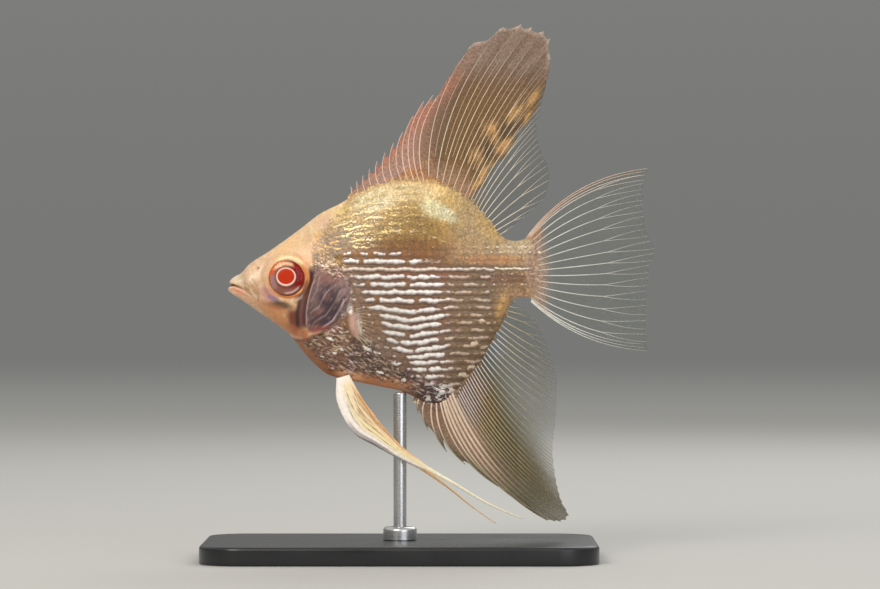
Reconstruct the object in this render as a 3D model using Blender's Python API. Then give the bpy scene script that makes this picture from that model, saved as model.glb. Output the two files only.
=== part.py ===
"""Freshwater angelfish, albino form, as a still life-size model on a plain display stand.

The fish heads along -X and shows its left flank to -Y, with +Z up. The origin is the middle of
the stand's underside. Sizes are in millimetres here, and MM turns them into metres.
"""
import math

import bmesh
import bpy
import numpy as np

MM = 0.001
SEAM = 0.3                      # clear gap wherever two pieces meet
FACET_ALLOWANCE = 0.05          # added along the fin roots, where flat facets face each other

# Body, from the tip of the lower jaw to the root of the tail fin.
NOSE_X = -36.8
TAIL_ROOT_X = 30.2
BODY_STATIONS = 43
BODY_SIDES = 24

# Eyes: flattened balls that bulge a little from the head.
EYE_X, EYE_Z = -24.1, 60.0
EYE_RADIUS = 4.3
EYE_HALF_DEPTH = 2.0
EYE_OUTER_Y = 5.2

# Gill covers: plates let into the sides of the head, down to this distance from the midplane.
COVER_INNER_Y = 2.9

# Space that the cutters of the side view fill, past the body on every side.
FRONT_X, LOW_Z, HIGH_Z, SIDE_Y = -42.0, 25.0, 86.0, 9.0

# Fins: thickness at the root and at the edge.
FIN_EDGE = 0.55
DORSAL_ROOT, ANAL_ROOT, TAIL_FIN_ROOT = 1.5, 1.5, 1.3
DORSAL_RAYS, ANAL_RAYS, TAIL_RAYS = 36, 31, 15

# Pectoral fins: fans that stand off the flanks; rays are counted from the top one down.
PECTORAL_ROOT_X, PECTORAL_ROOT_Z, PECTORAL_ROOT_Y = -9.4, 50.6, 5.75
PECTORAL_ROOT_HEIGHT = 5.6
PECTORAL_RAYS = 11
PECTORAL_OUT = math.radians(20)

# Stand: base plate, one rod up to the belly, and the collar round the rod's foot.
BASE_LENGTH, BASE_WIDTH, BASE_HEIGHT, BASE_CORNER, BASE_EDGE = 84.0, 52.0, 4.0, 9.0, 0.6
ROD_RADIUS = 1.4
COLLAR_RADIUS, COLLAR_HEIGHT = 3.6, 2.6


def curve(*knots):
    """Smooth function through knots (t, value, ...) that never swings past them."""
    table = np.array(knots, float)
    t, v = table[:, 0], table[:, 1:]
    step = np.diff(t)[:, None]
    slope = np.diff(v, axis=0) / step
    product = slope[:-1] * slope[1:]
    total = np.where(product > 0, slope[:-1] + slope[1:], 1.0)
    tangent = np.vstack([slope[:1], np.where(product > 0, 2 * product / total, 0.0), slope[-1:]])

    def at(where):
        where = np.clip(np.asarray(where, float), t[0], t[-1])
        i = np.clip(np.searchsorted(t, where) - 1, 0, len(step) - 1)
        h = step[i]
        u = (where - t[i])[..., None] / h
        start = (1 + 2 * u) * v[i] + u * h * tangent[i]
        end = (3 - 2 * u) * v[i + 1] - (1 - u) * h * tangent[i + 1]
        value = (1 - u) ** 2 * start + u ** 2 * end
        return value[..., 0] if value.shape[-1] == 1 else value

    return at


# The body's upper and lower edge, half its width, and how sharp its edges are, all along X.
BACK = curve(
    (-36.8, 58.1), (-36.3, 59.6), (-35.3, 60.5), (-34.1, 61.1), (-32.1, 63.2), (-27.8, 66.0),
    (-21.4, 70.6), (-17.1, 73.9), (-12.8, 76.1), (-8.6, 78.5), (-4.3, 80.2), (0.0, 81.0),
    (2.1, 81.2), (4.3, 81.0), (8.6, 80.2), (12.8, 78.0), (17.1, 74.6), (21.4, 69.5),
    (22.9, 68.4), (24.6, 68.1), (26.6, 68.5), (28.4, 69.5), (30.2, 70.9))
BELLY = curve(
    (-36.8, 57.3), (-35.9, 56.5), (-34.2, 55.4), (-29.9, 52.4), (-25.7, 49.5), (-23.5, 47.7),
    (-22.0, 45.8), (-19.2, 42.4), (-15.0, 39.1), (-12.8, 38.5), (-4.3, 36.7), (0.0, 35.8),
    (2.4, 34.8), (5.3, 33.2), (7.7, 32.9), (9.6, 33.6), (11.8, 35.7), (14.5, 38.7),
    (17.1, 42.1), (19.2, 45.8), (21.4, 50.0), (23.1, 53.4), (24.2, 55.3), (25.7, 55.8),
    (27.5, 55.7), (30.2, 54.2))
HALF_WIDTH = curve(
    (-36.8, 0.7), (-36.2, 1.4), (-34.6, 2.2), (-32.0, 2.9), (-28.0, 3.7), (-24.0, 4.5),
    (-18.0, 5.3), (-12.0, 5.5), (-4.0, 5.3), (5.0, 4.6), (14.0, 3.5), (20.0, 2.6),
    (25.0, 2.0), (28.0, 1.6), (30.2, 1.2))
EDGE_POWER = curve(
    (-36.8, 1.0), (-32.0, 1.05), (-22.0, 1.3), (-10.0, 1.45), (14.0, 1.45), (24.0, 1.2), (30.2, 1.1))

# Seams of the side view, as (x, z) from top to bottom.
GILL_SEAM = curve(
    (0, -13.6, 86.0), (1, -13.2, 74.0), (2, -12.8, 66.0), (3, -12.3, 62.2), (4, -10.8, 59.7),
    (5, -10.3, 56.4), (6, -11.2, 52.8), (7, -13.9, 49.8), (8, -17.5, 47.9), (9, -22.4, 47.2),
    (10, -27.0, 46.6))
JAW_SEAM = curve(
    (0, -38.5, 58.5), (1, -36.0, 58.3), (2, -34.4, 57.9), (3, -31.9, 57.0), (4, -29.6, 55.6),
    (5, -28.6, 53.6), (6, -29.2, 50.0))
TAIL_SEAM = curve((0, 21.7, 73.0), (1, 22.2, 67.0), (2, 23.2, 60.0), (3, 24.6, 51.0))
TAIL_END = curve((0, 28.0, 73.0), (1, 28.6, 68.9), (2, 29.8, 62.0), (3, 29.6, 54.8), (4, 29.4, 51.0))
COVER_FRONT = curve(
    (0, -18.6, 62.4), (1, -19.5, 59.0), (2, -19.8, 54.0), (3, -19.3, 50.0), (4, -17.6, 46.0))

# Fin outlines by ray number: x of each root on the body's edge, each tip, and each ray's bow.
DORSAL_ROOT_X = curve((0, -10.7), (11, 5.6), (20, 11.6), (36, 21.2))
DORSAL_TIPS = curve(
    (0, -10.5, 79.6), (2, -7.9, 81.9), (4, -4.9, 85.0), (7, 0.6, 91.2), (9, 5.1, 97.8),
    (11, 9.6, 100.7), (12, 15.8, 110.3), (13, 19.0, 111.3), (14, 22.0, 113.7), (17, 26.2, 114.4),
    (20, 31.0, 113.0), (21, 32.2, 111.4), (24, 32.1, 104.4), (27, 30.1, 97.0), (29, 29.2, 91.7),
    (31, 30.2, 87.2), (33, 32.0, 82.0), (34, 31.2, 77.8), (35, 27.8, 74.2), (36, 23.2, 70.3))
DORSAL_NOTCH = curve((0, 1.4), (10, 1.4), (11, 0.0), (13, 0.5), (18, 0.8), (24, 0.5), (28, 0.0))
DORSAL_BOW = curve((0, 0.0), (6, 1.2), (12, 3.2), (20, 2.0), (36, 0.0))
ANAL_ROOT_X = curve((0, 2.4), (5, 9.0), (14, 14.0), (31, 23.7))
ANAL_TIPS = curve(
    (0, 2.8, 33.5), (1, 3.9, 31.0), (2, 6.0, 27.6), (3, 10.0, 22.9), (4, 14.0, 20.2),
    (5, 21.0, 15.5), (6, 26.5, 12.4), (7, 31.4, 8.2), (9, 34.4, 7.9), (11, 36.1, 9.3),
    (13, 34.6, 12.3), (16, 33.4, 16.9), (19, 32.7, 23.3), (22, 33.4, 31.0), (25, 33.6, 38.0),
    (27, 32.6, 42.6), (28, 31.2, 46.4), (29, 29.2, 50.6), (31, 24.9, 54.9))
ANAL_NOTCH = curve((0, 1.6), (3, 2.2), (5, 1.0), (6, 0.0))
ANAL_BOW = curve((0, 0.0), (3, -1.4), (7, -3.4), (14, -2.0), (31, 0.0))
TAIL_TIPS = curve(
    (0, 53.0, 83.4), (2, 52.0, 79.6), (4, 52.0, 75.0), (6, 53.0, 69.8), (7.5, 54.4, 65.8),
    (9, 53.4, 62.0), (11, 52.8, 56.4), (13, 52.6, 50.0), (15, 53.0, 44.5))
TAIL_BOW = curve((0, 3.3), (7.5, 0.0), (15, -2.5))
PECTORAL_LENGTH = curve((0, 8.0), (1, 10.4), (3, 12.4), (6, 12.0), (9, 9.4), (11, 6.2))
PECTORAL_ANGLE = curve((0, 10.0), (11, -46.0))

# Pelvic fins: middle line (x, z), half the blade's width and distance from the midplane.
PELVIC_LEFT = curve(
    (0.0, -12.2, 39.0, 1.5, 1.5), (0.1, -10.9, 34.4, 2.6, 2.3), (0.22, -8.0, 29.5, 2.9, 3.1),
    (0.32, -4.2, 26.2, 1.7, 3.7), (0.43, 0.5, 22.4, 0.8, 3.9), (0.53, 4.7, 20.2, 0.45, 3.9),
    (0.7, 12.0, 16.0, 0.3, 3.6), (0.85, 18.9, 11.9, 0.28, 3.1), (1.0, 26.1, 8.7, 0.26, 2.7))
PELVIC_RIGHT = curve(
    (0.0, -12.2, 39.0, 1.5, 1.5), (0.1, -11.3, 34.2, 2.4, 2.3), (0.24, -8.4, 28.6, 2.4, 3.1),
    (0.36, -4.6, 25.2, 1.5, 3.7), (0.48, 0.2, 21.8, 0.8, 3.9), (0.58, 4.3, 19.4, 0.45, 3.9),
    (0.74, 10.2, 15.2, 0.3, 3.4), (0.88, 15.6, 10.9, 0.28, 2.8), (1.0, 20.5, 7.5, 0.26, 2.4))
PELVIC_STATIONS, PELVIC_SIDES = 28, 8
PELVIC_HALF_THICK = curve((0.0, 0.5), (0.5, 0.34), (0.6, 0.28), (1.0, 0.26))


def clear_scene():
    """Start from an empty scene."""
    for thing in list(bpy.data.objects):
        bpy.data.objects.remove(thing, do_unlink=True)


def material(name, color, roughness, metallic=0.0):
    """Principled material of one even colour."""
    mat = bpy.data.materials.new(name)
    mat.use_nodes = True
    shader = mat.node_tree.nodes["Principled BSDF"]
    shader.inputs["Base Color"].default_value = (*color, 1.0)
    shader.inputs["Roughness"].default_value = roughness
    shader.inputs["Metallic"].default_value = metallic
    return mat


def add_piece(name, points, faces, mat=None, smooth=True):
    """Object from points in millimetres and faces of any number of corners."""
    mesh = bpy.data.meshes.new(name)
    mesh.from_pydata((np.asarray(points, float) * MM).tolist(), [], faces)
    if mat is not None:
        mesh.materials.append(mat)
    form = bmesh.new()
    form.from_mesh(mesh)
    bmesh.ops.recalc_face_normals(form, faces=form.faces)
    form.to_mesh(mesh)
    form.free()
    if smooth:
        mesh.shade_smooth()
        mesh.set_sharp_from_angle(angle=math.radians(40))
    piece = bpy.data.objects.new(name, mesh)
    bpy.context.scene.collection.objects.link(piece)
    return piece


def tube_faces(rings, sides):
    """Faces of a closed tube: its wall in quads and a cap at each end."""
    wall = [(r * sides + s, r * sides + (s + 1) % sides,
             (r + 1) * sides + (s + 1) % sides, (r + 1) * sides + s)
            for r in range(rings - 1) for s in range(sides)]
    last = (rings - 1) * sides
    return wall + [tuple(range(sides)), tuple(range(last, last + sides))]


def guide(piece):
    """Turn an object into a cutter, which isn't part of the model."""
    piece.hide_render = True
    piece.display_type = "WIRE"
    return piece


def carve(piece, cutter, operation):
    """Cut a piece with a cutter, or keep only what lies inside it."""
    cut = piece.modifiers.new(cutter.name, "BOOLEAN")
    cut.object = cutter
    cut.operation = operation
    cut.solver = "EXACT"


def side_prism(name, outline, y_from=-SIDE_Y, y_to=SIDE_Y):
    """Cutter with the given side outline, running straight across the body."""
    outline = np.asarray(outline)
    count = len(outline)
    points = [(x, y, z) for y in (y_from, y_to) for x, z in outline]
    return guide(add_piece(name, points, tube_faces(2, count), smooth=False))


def seam_line(seam, end, shift, pieces=28):
    """Points along a seam, moved sideways by shift: forwards and down where it is positive."""
    line = seam(np.linspace(0, end, pieces))
    run = np.gradient(line, axis=0)
    normal = np.column_stack([run[:, 1], -run[:, 0]]) / np.linalg.norm(run, axis=1)[:, None]
    return line + shift * normal


def body(name, mat):
    """The whole body without fins: lens-shaped sections from the jaw tip to the tail root."""
    even = np.linspace(0, 1, BODY_STATIONS)
    x = NOSE_X + (TAIL_ROOT_X - NOSE_X) * (0.75 * even + 0.25 * even ** 3)
    turn = np.arange(BODY_SIDES) * 2 * math.pi / BODY_SIDES
    top, low = BACK(x)[:, None], BELLY(x)[:, None]
    side = np.sign(np.sin(turn)) * np.abs(np.sin(turn)) ** EDGE_POWER(x)[:, None]
    points = np.stack([np.repeat(x[:, None], BODY_SIDES, 1),
                       HALF_WIDTH(x)[:, None] * side,
                       (top + low) / 2 + (top - low) / 2 * np.cos(turn)], axis=-1)
    return add_piece(name, points.reshape(-1, 3), tube_faces(BODY_STATIONS, BODY_SIDES), mat)


def eye_ball(name, side, grow, mat=None):
    """Flattened ball at one side of the head; side is -1 for left and 1 for right."""
    form = bmesh.new()
    bmesh.ops.create_uvsphere(form, u_segments=20, v_segments=9, radius=1.0)
    radius, depth = EYE_RADIUS + grow, EYE_HALF_DEPTH + grow
    middle_y = side * (EYE_OUTER_Y - EYE_HALF_DEPTH)
    points = [(EYE_X + radius * v.co.x, middle_y + depth * v.co.z, EYE_Z + radius * v.co.y)
              for v in form.verts]
    faces = [tuple(v.index for v in f.verts) for f in form.faces]
    form.free()
    return add_piece(name, points, faces, mat)


def jaw_outline(shift):
    """Side outline of the space in front of and below the jaw seam."""
    line = seam_line(JAW_SEAM, 6, shift)
    return np.vstack([line, [(FRONT_X, line[-1][1]), (FRONT_X, line[0][1])]])


def cover_outline(shift):
    """Side outline of a gill cover; the gill seam closes it behind."""
    front = seam_line(COVER_FRONT, 4, shift)
    top, behind = COVER_FRONT(0)[1] + shift, 0.0
    return np.vstack([front, [(behind, front[-1][1]), (behind, top)]])


def head_pieces(skin, cover_mat, eye_mat):
    """Head, lower jaw, gill covers and eyes."""
    half = SEAM / 2
    head_room = side_prism("guide_head", np.vstack([
        seam_line(GILL_SEAM, 10, half), [(FRONT_X, LOW_Z), (FRONT_X, HIGH_Z)]]))
    jaw_room = side_prism("guide_jaw", jaw_outline(half))
    jaw_gap = side_prism("guide_jaw_gap", jaw_outline(-half))

    head = body("head", skin)
    carve(head, head_room, "INTERSECT")
    carve(head, jaw_gap, "DIFFERENCE")
    jaw = body("lower_jaw", skin)
    carve(jaw, jaw_room, "INTERSECT")
    for word, side in (("left", -1), ("right", 1)):
        cover = body(f"gill_cover_{word}", cover_mat)
        carve(cover, head_room, "INTERSECT")
        carve(cover, side_prism(f"guide_cover_{word}", cover_outline(-half),
                                side * (COVER_INNER_Y + half), side * SIDE_Y), "INTERSECT")
        carve(head, side_prism(f"guide_cover_gap_{word}", cover_outline(half),
                               side * (COVER_INNER_Y - half), side * SIDE_Y), "DIFFERENCE")
        carve(head, guide(eye_ball(f"guide_socket_{word}", side, SEAM)), "DIFFERENCE")
        eye_ball(f"eye_{word}", side, 0.0, eye_mat)


def trunk_pieces(skin, stem_mat):
    """Trunk and tail stem, behind the gill seam."""
    half = SEAM / 2
    front, rear = seam_line(GILL_SEAM, 10, -half), seam_line(TAIL_SEAM, 3, half)
    trunk = body("trunk", skin)
    carve(trunk, side_prism("guide_trunk", np.vstack([
        front, [(front[-1][0], LOW_Z), (rear[-1][0], LOW_Z)],
        rear[::-1], [(rear[0][0], HIGH_Z)]])), "INTERSECT")
    stem = body("tail_stem", stem_mat)
    carve(stem, side_prism("guide_stem", np.vstack([
        seam_line(TAIL_SEAM, 3, -half), seam_line(TAIL_END, 4, 0)[::-1]])), "INTERSECT")


def fin_plate(name, middle, across, half_thick, mat):
    """Closed plate round a grid of middle points, thick along the unit direction across."""
    columns, rows = middle.shape[:2]
    offset = half_thick[..., None] * np.asarray(across)
    points = np.concatenate([(middle - offset).reshape(-1, 3), (middle + offset).reshape(-1, 3)])
    count = columns * rows
    faces = []
    for c in range(columns - 1):
        for r in range(rows - 1):
            quad = (c * rows + r, (c + 1) * rows + r, (c + 1) * rows + r + 1, c * rows + r + 1)
            faces += [quad, tuple(count + i for i in reversed(quad))]
    rim = [c * rows for c in range(columns)]
    rim += [(columns - 1) * rows + r for r in range(1, rows)]
    rim += [c * rows + rows - 1 for c in range(columns - 2, -1, -1)]
    rim += list(range(rows - 2, 0, -1))
    faces += [(a, b, count + b, count + a) for a, b in zip(rim, rim[1:] + rim[:1])]
    return add_piece(name, points, faces, mat)


def ray_fan(roots, tips, bow, rows):
    """Grid along curved rays from roots to tips; bow is each ray's bulge at half its length."""
    t = np.linspace(0, 1, rows)[None, :, None]
    chord = tips - roots
    normal = np.column_stack([-chord[:, 1], chord[:, 0]])
    normal /= np.linalg.norm(normal, axis=1)[:, None]
    bend = (roots + tips) / 2 + 2 * bow[:, None] * normal
    roots, bend, tips = (p[:, None, :] for p in (roots, bend, tips))
    flat = (1 - t) ** 2 * roots + 2 * t * (1 - t) * bend + t ** 2 * tips
    return np.stack([flat[..., 0], np.zeros(flat.shape[:2]), flat[..., 1]], axis=-1)


def edge_roots(edge, x, outward):
    """Points a seam's width off the body's edge; outward is 1 above the back, -1 below."""
    slope = (edge(x + 0.05) - edge(x - 0.05)) / 0.1
    normal = outward * np.column_stack([-slope, np.ones_like(x)]) / np.hypot(slope, 1)[:, None]
    return np.column_stack([x, edge(x)]) + (SEAM + FACET_ALLOWANCE) * normal


def notched(tips, roots, ray, depth):
    """Draw the edge in between the rays' tips, by depth halfway between two rays."""
    between = np.abs((ray + 0.5) % 1.0 - 0.5) * 2
    length = np.linalg.norm(roots - tips, axis=1)
    reach = np.minimum(depth * between, 0.35 * length)
    return tips + (roots - tips) * (reach / length)[:, None]


def thickness(columns, rows, root, edge=FIN_EDGE):
    """Half thickness over a fin's grid, thinning quickly from the root to the edge."""
    t = np.linspace(0, 1, rows)
    return np.tile((edge + (root - edge) * (1 - t) ** 2) / 2, (columns, 1))


def median_fins(mat):
    """Dorsal, anal and tail fin, all upright in the midplane."""
    rows = 4
    ray = np.arange(0, 2 * DORSAL_RAYS + 1) / 2
    roots = edge_roots(BACK, DORSAL_ROOT_X(ray), 1)
    tips = notched(DORSAL_TIPS(ray), roots, ray, DORSAL_NOTCH(ray))
    fin_plate("dorsal_fin", ray_fan(roots, tips, DORSAL_BOW(ray), rows), (0, 1, 0),
              thickness(len(ray), rows, DORSAL_ROOT), mat)

    ray = np.arange(0, 2 * ANAL_RAYS + 1) / 2
    roots = edge_roots(BELLY, ANAL_ROOT_X(ray), -1)
    tips = notched(ANAL_TIPS(ray), roots, ray, ANAL_NOTCH(ray))
    fin_plate("anal_fin", ray_fan(roots, tips, ANAL_BOW(ray), rows), (0, 1, 0),
              thickness(len(ray), rows, ANAL_ROOT), mat)

    ray = np.arange(0, 2 * TAIL_RAYS + 1) / 2
    roots = TAIL_END(1.05 + 1.9 * ray / TAIL_RAYS) + (SEAM + FACET_ALLOWANCE, 0.0)
    rows = 6
    fin_plate("tail_fin", ray_fan(roots, TAIL_TIPS(ray), TAIL_BOW(ray), rows), (0, 1, 0),
              thickness(len(ray), rows, TAIL_FIN_ROOT), mat)


def pectoral_fins(mat):
    """Rounded fans that stand a little off the flanks behind the gill covers."""
    rows = 5
    ray = np.arange(PECTORAL_RAYS + 1)
    angle = np.radians(PECTORAL_ANGLE(ray))
    down = PECTORAL_ROOT_HEIGHT * (ray / PECTORAL_RAYS - 0.5)
    roots = np.column_stack([np.zeros_like(down), -down])
    tips = roots + PECTORAL_LENGTH(ray)[:, None] * np.column_stack([np.cos(angle), np.sin(angle)])
    flat = ray_fan(roots, tips, np.zeros_like(down), rows)
    for word, side in (("left", -1), ("right", 1)):
        middle = np.stack([PECTORAL_ROOT_X + flat[..., 0] * math.cos(PECTORAL_OUT),
                           side * (PECTORAL_ROOT_Y + flat[..., 0] * math.sin(PECTORAL_OUT)),
                           PECTORAL_ROOT_Z + flat[..., 2]], axis=-1)
        across = (-math.sin(PECTORAL_OUT), side * math.cos(PECTORAL_OUT), 0)
        fin_plate(f"pectoral_fin_{word}", middle, across, thickness(len(ray), rows, 0.8, 0.5), mat)


def pelvic_fins(mat):
    """Long blades under the chest that end in a thread, one on each side."""
    t = np.linspace(0, 1, PELVIC_STATIONS)
    turn = np.arange(PELVIC_SIDES) * 2 * math.pi / PELVIC_SIDES
    for word, side, line in (("left", -1, PELVIC_LEFT), ("right", 1, PELVIC_RIGHT)):
        x, z, half_width, out = line(t).T
        run = np.gradient(np.column_stack([x, z]), axis=0)
        run /= np.linalg.norm(run, axis=1)[:, None]
        wide = half_width[:, None] * np.cos(turn)
        points = np.stack([x[:, None] - run[:, 1:] * wide,
                           side * out[:, None] + PELVIC_HALF_THICK(t)[:, None] * np.sin(turn),
                           z[:, None] + run[:, :1] * wide], axis=-1)
        add_piece(f"pelvic_fin_{word}", points.reshape(-1, 3),
                  tube_faces(PELVIC_STATIONS, PELVIC_SIDES), mat)


def lathe(name, profile, mat, sides=24):
    """Ring turned round the Z axis from a closed profile of (radius, z)."""
    turn = np.arange(sides) * 2 * math.pi / sides
    points = [(r * math.cos(a), r * math.sin(a), z) for a in turn for r, z in profile]
    count = len(profile)
    faces = [(s * count + p, s * count + (p + 1) % count,
              (s + 1) % sides * count + (p + 1) % count, (s + 1) % sides * count + p)
             for s in range(sides) for p in range(count)]
    return add_piece(name, points, faces, mat)


def stand(base_mat, metal):
    """Base plate with round corners, rod and collar."""
    arc = np.radians(np.linspace(0, 90, 8))
    corner = np.column_stack([np.cos(arc), np.sin(arc)]) * BASE_CORNER
    reach = np.array([BASE_LENGTH / 2 - BASE_CORNER, BASE_WIDTH / 2 - BASE_CORNER])
    outline = np.vstack([corner + reach, (corner[::-1] + reach) * (-1, 1),
                         -(corner + reach), (corner[::-1] + reach) * (1, -1)])
    points = [(x, y, z) for z in (0.0, BASE_HEIGHT) for x, y in outline]
    base = add_piece("stand_base", points, tube_faces(2, len(outline)), base_mat)
    rim = base.modifiers.new("rounded_rim", "BEVEL")
    rim.width = BASE_EDGE * MM
    rim.segments = 2
    rim.limit_method = "ANGLE"
    rim.angle_limit = math.radians(60)

    foot = BASE_HEIGHT + SEAM
    turn = np.arange(24) * 2 * math.pi / 24
    top = BELLY(ROD_RADIUS) - SEAM
    points = [(ROD_RADIUS * math.cos(a), ROD_RADIUS * math.sin(a), z)
              for z in (foot, top) for a in turn]
    add_piece("stand_rod", points, tube_faces(2, 24), metal)
    bore = ROD_RADIUS + SEAM
    ease = 0.5
    lathe("stand_collar", (
        (bore, foot), (COLLAR_RADIUS, foot), (COLLAR_RADIUS, foot + COLLAR_HEIGHT - ease),
        (COLLAR_RADIUS - ease, foot + COLLAR_HEIGHT), (bore, foot + COLLAR_HEIGHT)), metal)


def main():
    clear_scene()
    skin = material("cream_skin", (0.72, 0.48, 0.34), 0.45)
    flank = material("silver_flank", (0.55, 0.42, 0.28), 0.35)
    stem_mat = material("tail_stem_skin", (0.60, 0.42, 0.30), 0.4)
    cover_mat = material("gill_cover_skin", (0.35, 0.24, 0.25), 0.4)
    eye_mat = material("red_eye", (0.65, 0.05, 0.03), 0.1)
    fin_mat = material("fin_membrane", (0.45, 0.36, 0.27), 0.4)
    clear_mat = material("clear_membrane", (0.70, 0.66, 0.58), 0.3)
    pelvic_mat = material("pelvic_rays", (0.85, 0.72, 0.45), 0.4)
    base_mat = material("dark_base", (0.03, 0.03, 0.032), 0.35)
    metal = material("steel_rod", (0.60, 0.60, 0.60), 0.3, metallic=1.0)

    head_pieces(skin, cover_mat, eye_mat)
    trunk_pieces(flank, stem_mat)
    median_fins(fin_mat)
    pectoral_fins(clear_mat)
    pelvic_fins(pelvic_mat)
    stand(base_mat, metal)


if __name__ == "__main__":
    main()
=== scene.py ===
"""Finish of a life-size albino angelfish on a display stand: skin, scales, eyes, fins, stand.

The fish heads along -X, its left flank faces -Y and +Z is up. Shapes are worked out in
millimetres in the frame's own axes and turned into metres where a mesh is made.
"""
import math
from functools import partial

import bpy
import numpy as np
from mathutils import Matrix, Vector


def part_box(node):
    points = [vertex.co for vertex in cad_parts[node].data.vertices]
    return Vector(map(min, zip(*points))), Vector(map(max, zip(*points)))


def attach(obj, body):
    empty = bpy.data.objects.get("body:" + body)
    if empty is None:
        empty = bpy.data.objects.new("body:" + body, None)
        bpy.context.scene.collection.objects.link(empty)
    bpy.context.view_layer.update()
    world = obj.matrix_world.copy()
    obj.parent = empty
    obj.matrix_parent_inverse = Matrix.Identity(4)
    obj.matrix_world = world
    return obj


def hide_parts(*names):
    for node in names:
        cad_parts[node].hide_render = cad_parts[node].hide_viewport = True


bl_info = {
    "name": "Angelfish display model",
    "version": (1, 0, 0),
    "blender": (4, 5, 0),
    "location": "3D View > Sidebar > Angelfish",
    "description": "Builds the finished surfaces of a life-size angelfish on its stand",
    "category": "Add Mesh",
}

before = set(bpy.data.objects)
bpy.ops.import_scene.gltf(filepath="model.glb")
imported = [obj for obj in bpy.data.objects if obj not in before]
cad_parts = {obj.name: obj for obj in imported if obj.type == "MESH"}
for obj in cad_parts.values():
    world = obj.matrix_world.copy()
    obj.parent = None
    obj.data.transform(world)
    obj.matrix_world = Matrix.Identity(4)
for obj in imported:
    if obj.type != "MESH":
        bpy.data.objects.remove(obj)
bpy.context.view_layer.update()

MM = 0.001
LEFT, RIGHT = -1, 1
SIDE_NAMES = {LEFT: "left", RIGHT: "right"}


# ---------------- curves and small helpers

def curve(*knots):
    """Smooth function through knots (t, value, ...) that never swings past them."""
    table = np.array(knots, float)
    t, v = table[:, 0], table[:, 1:]
    step = np.diff(t)[:, None]
    slope = np.diff(v, axis=0) / step
    product = slope[:-1] * slope[1:]
    total = np.where(product > 0, slope[:-1] + slope[1:], 1)
    tangent = np.vstack([slope[:1], np.where(product > 0, 2 * product / total, 0), slope[-1:]])

    def at(where):
        """Value at t, from the cubic between the knots on either side."""
        where = np.clip(np.asarray(where, float), t[0], t[-1])
        i = np.clip(np.searchsorted(t, where) - 1, 0, len(step) - 1)
        h = step[i]
        u = (where - t[i])[..., None] / h
        start = (1 + 2 * u) * v[i] + u * h * tangent[i]
        end = (3 - 2 * u) * v[i + 1] - (1 - u) * h * tangent[i + 1]
        value = (1 - u) ** 2 * start + u ** 2 * end
        return value[..., 0] if value.shape[-1] == 1 else value

    return at


def ease(low, high, value):
    """0 below low, 1 above high and a smooth S between; high may be the smaller one."""
    t = np.clip((np.asarray(value, float) - low) / (high - low), 0, 1)
    return t * t * (3 - 2 * t)


def hill(distance, width):
    """Round ridge: 1 on the line and near 0 at twice the width from it."""
    return np.exp(-(distance / width) ** 2)


def spot(x, z, middle, radii, lean=0, soft=0.45):
    """Mask of an oval patch, leaned by degrees, that fades over the outer part of its radius."""
    a = math.radians(lean)
    dx, dz = x - middle[0], z - middle[1]
    u = (dx * math.cos(a) + dz * math.sin(a)) / radii[0]
    v = (-dx * math.sin(a) + dz * math.cos(a)) / radii[1]
    return ease(1 + soft, 1 - soft, np.hypot(u, v))


def away(x, z, line):
    """Signed distance to a polyline of (x, z) points; positive to its right as it is walked."""
    line = np.asarray(line, float)
    best = np.full(np.shape(x), np.inf)
    sign = np.ones(np.shape(x))
    for (ax, az), (bx, bz) in zip(line[:-1], line[1:]):
        run = (bx - ax) ** 2 + (bz - az) ** 2
        t = np.clip(((x - ax) * (bx - ax) + (z - az) * (bz - az)) / run, 0, 1)
        dx, dz = x - (ax + t * (bx - ax)), z - (az + t * (bz - az))
        distance = np.hypot(dx, dz)
        nearer = distance < best
        best = np.where(nearer, distance, best)
        turn = (bx - ax) * (z - az) - (bz - az) * (x - ax)
        sign = np.where(nearer, np.where(turn > 0, -1, 1), sign)
    return best * sign


def ripple(x, z, seed, size):
    """Smooth pattern between -1 and 1: a sum of five sine waves of about the given size."""
    rng = np.random.default_rng(seed)
    total = np.zeros(np.broadcast(x, z).shape)
    for _ in range(5):
        angle, phase, scale = rng.uniform(0, math.tau), rng.uniform(0, math.tau), rng.uniform(0.7, 1.5)
        total = total + np.sin((x * math.cos(angle) + z * math.sin(angle)) * scale * math.tau / size + phase)
    return total / 5 * 1.4


def linear(code):
    """Linear RGB of an sRGB hex colour."""
    parts = np.array([int(code[i:i + 2], 16) / 255 for i in (1, 3, 5)])
    return np.where(parts <= 0.04045, parts / 12.92, ((parts + 0.055) / 1.055) ** 2.4)


def blend(under, over, share):
    """Mix arrays of RGB by a share of the second; over may be a hex code."""
    over = linear(over) if isinstance(over, str) else over
    share = np.asarray(share)[..., None]
    return under * (1 - share) + over * share


def layered(base, like, *coats):
    """Colours over points shaped like an array: a base under coats of (colour, share) in turn."""
    tone = linear(base) if isinstance(base, str) else base
    tone = np.broadcast_to(tone, np.shape(like) + (3,))
    for colour, share in coats:
        tone = blend(tone, colour, share)
    return tone


# ---------------- the body's own shape

NOSE_X, TAIL_ROOT_X = -36.8, 30.2

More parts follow.
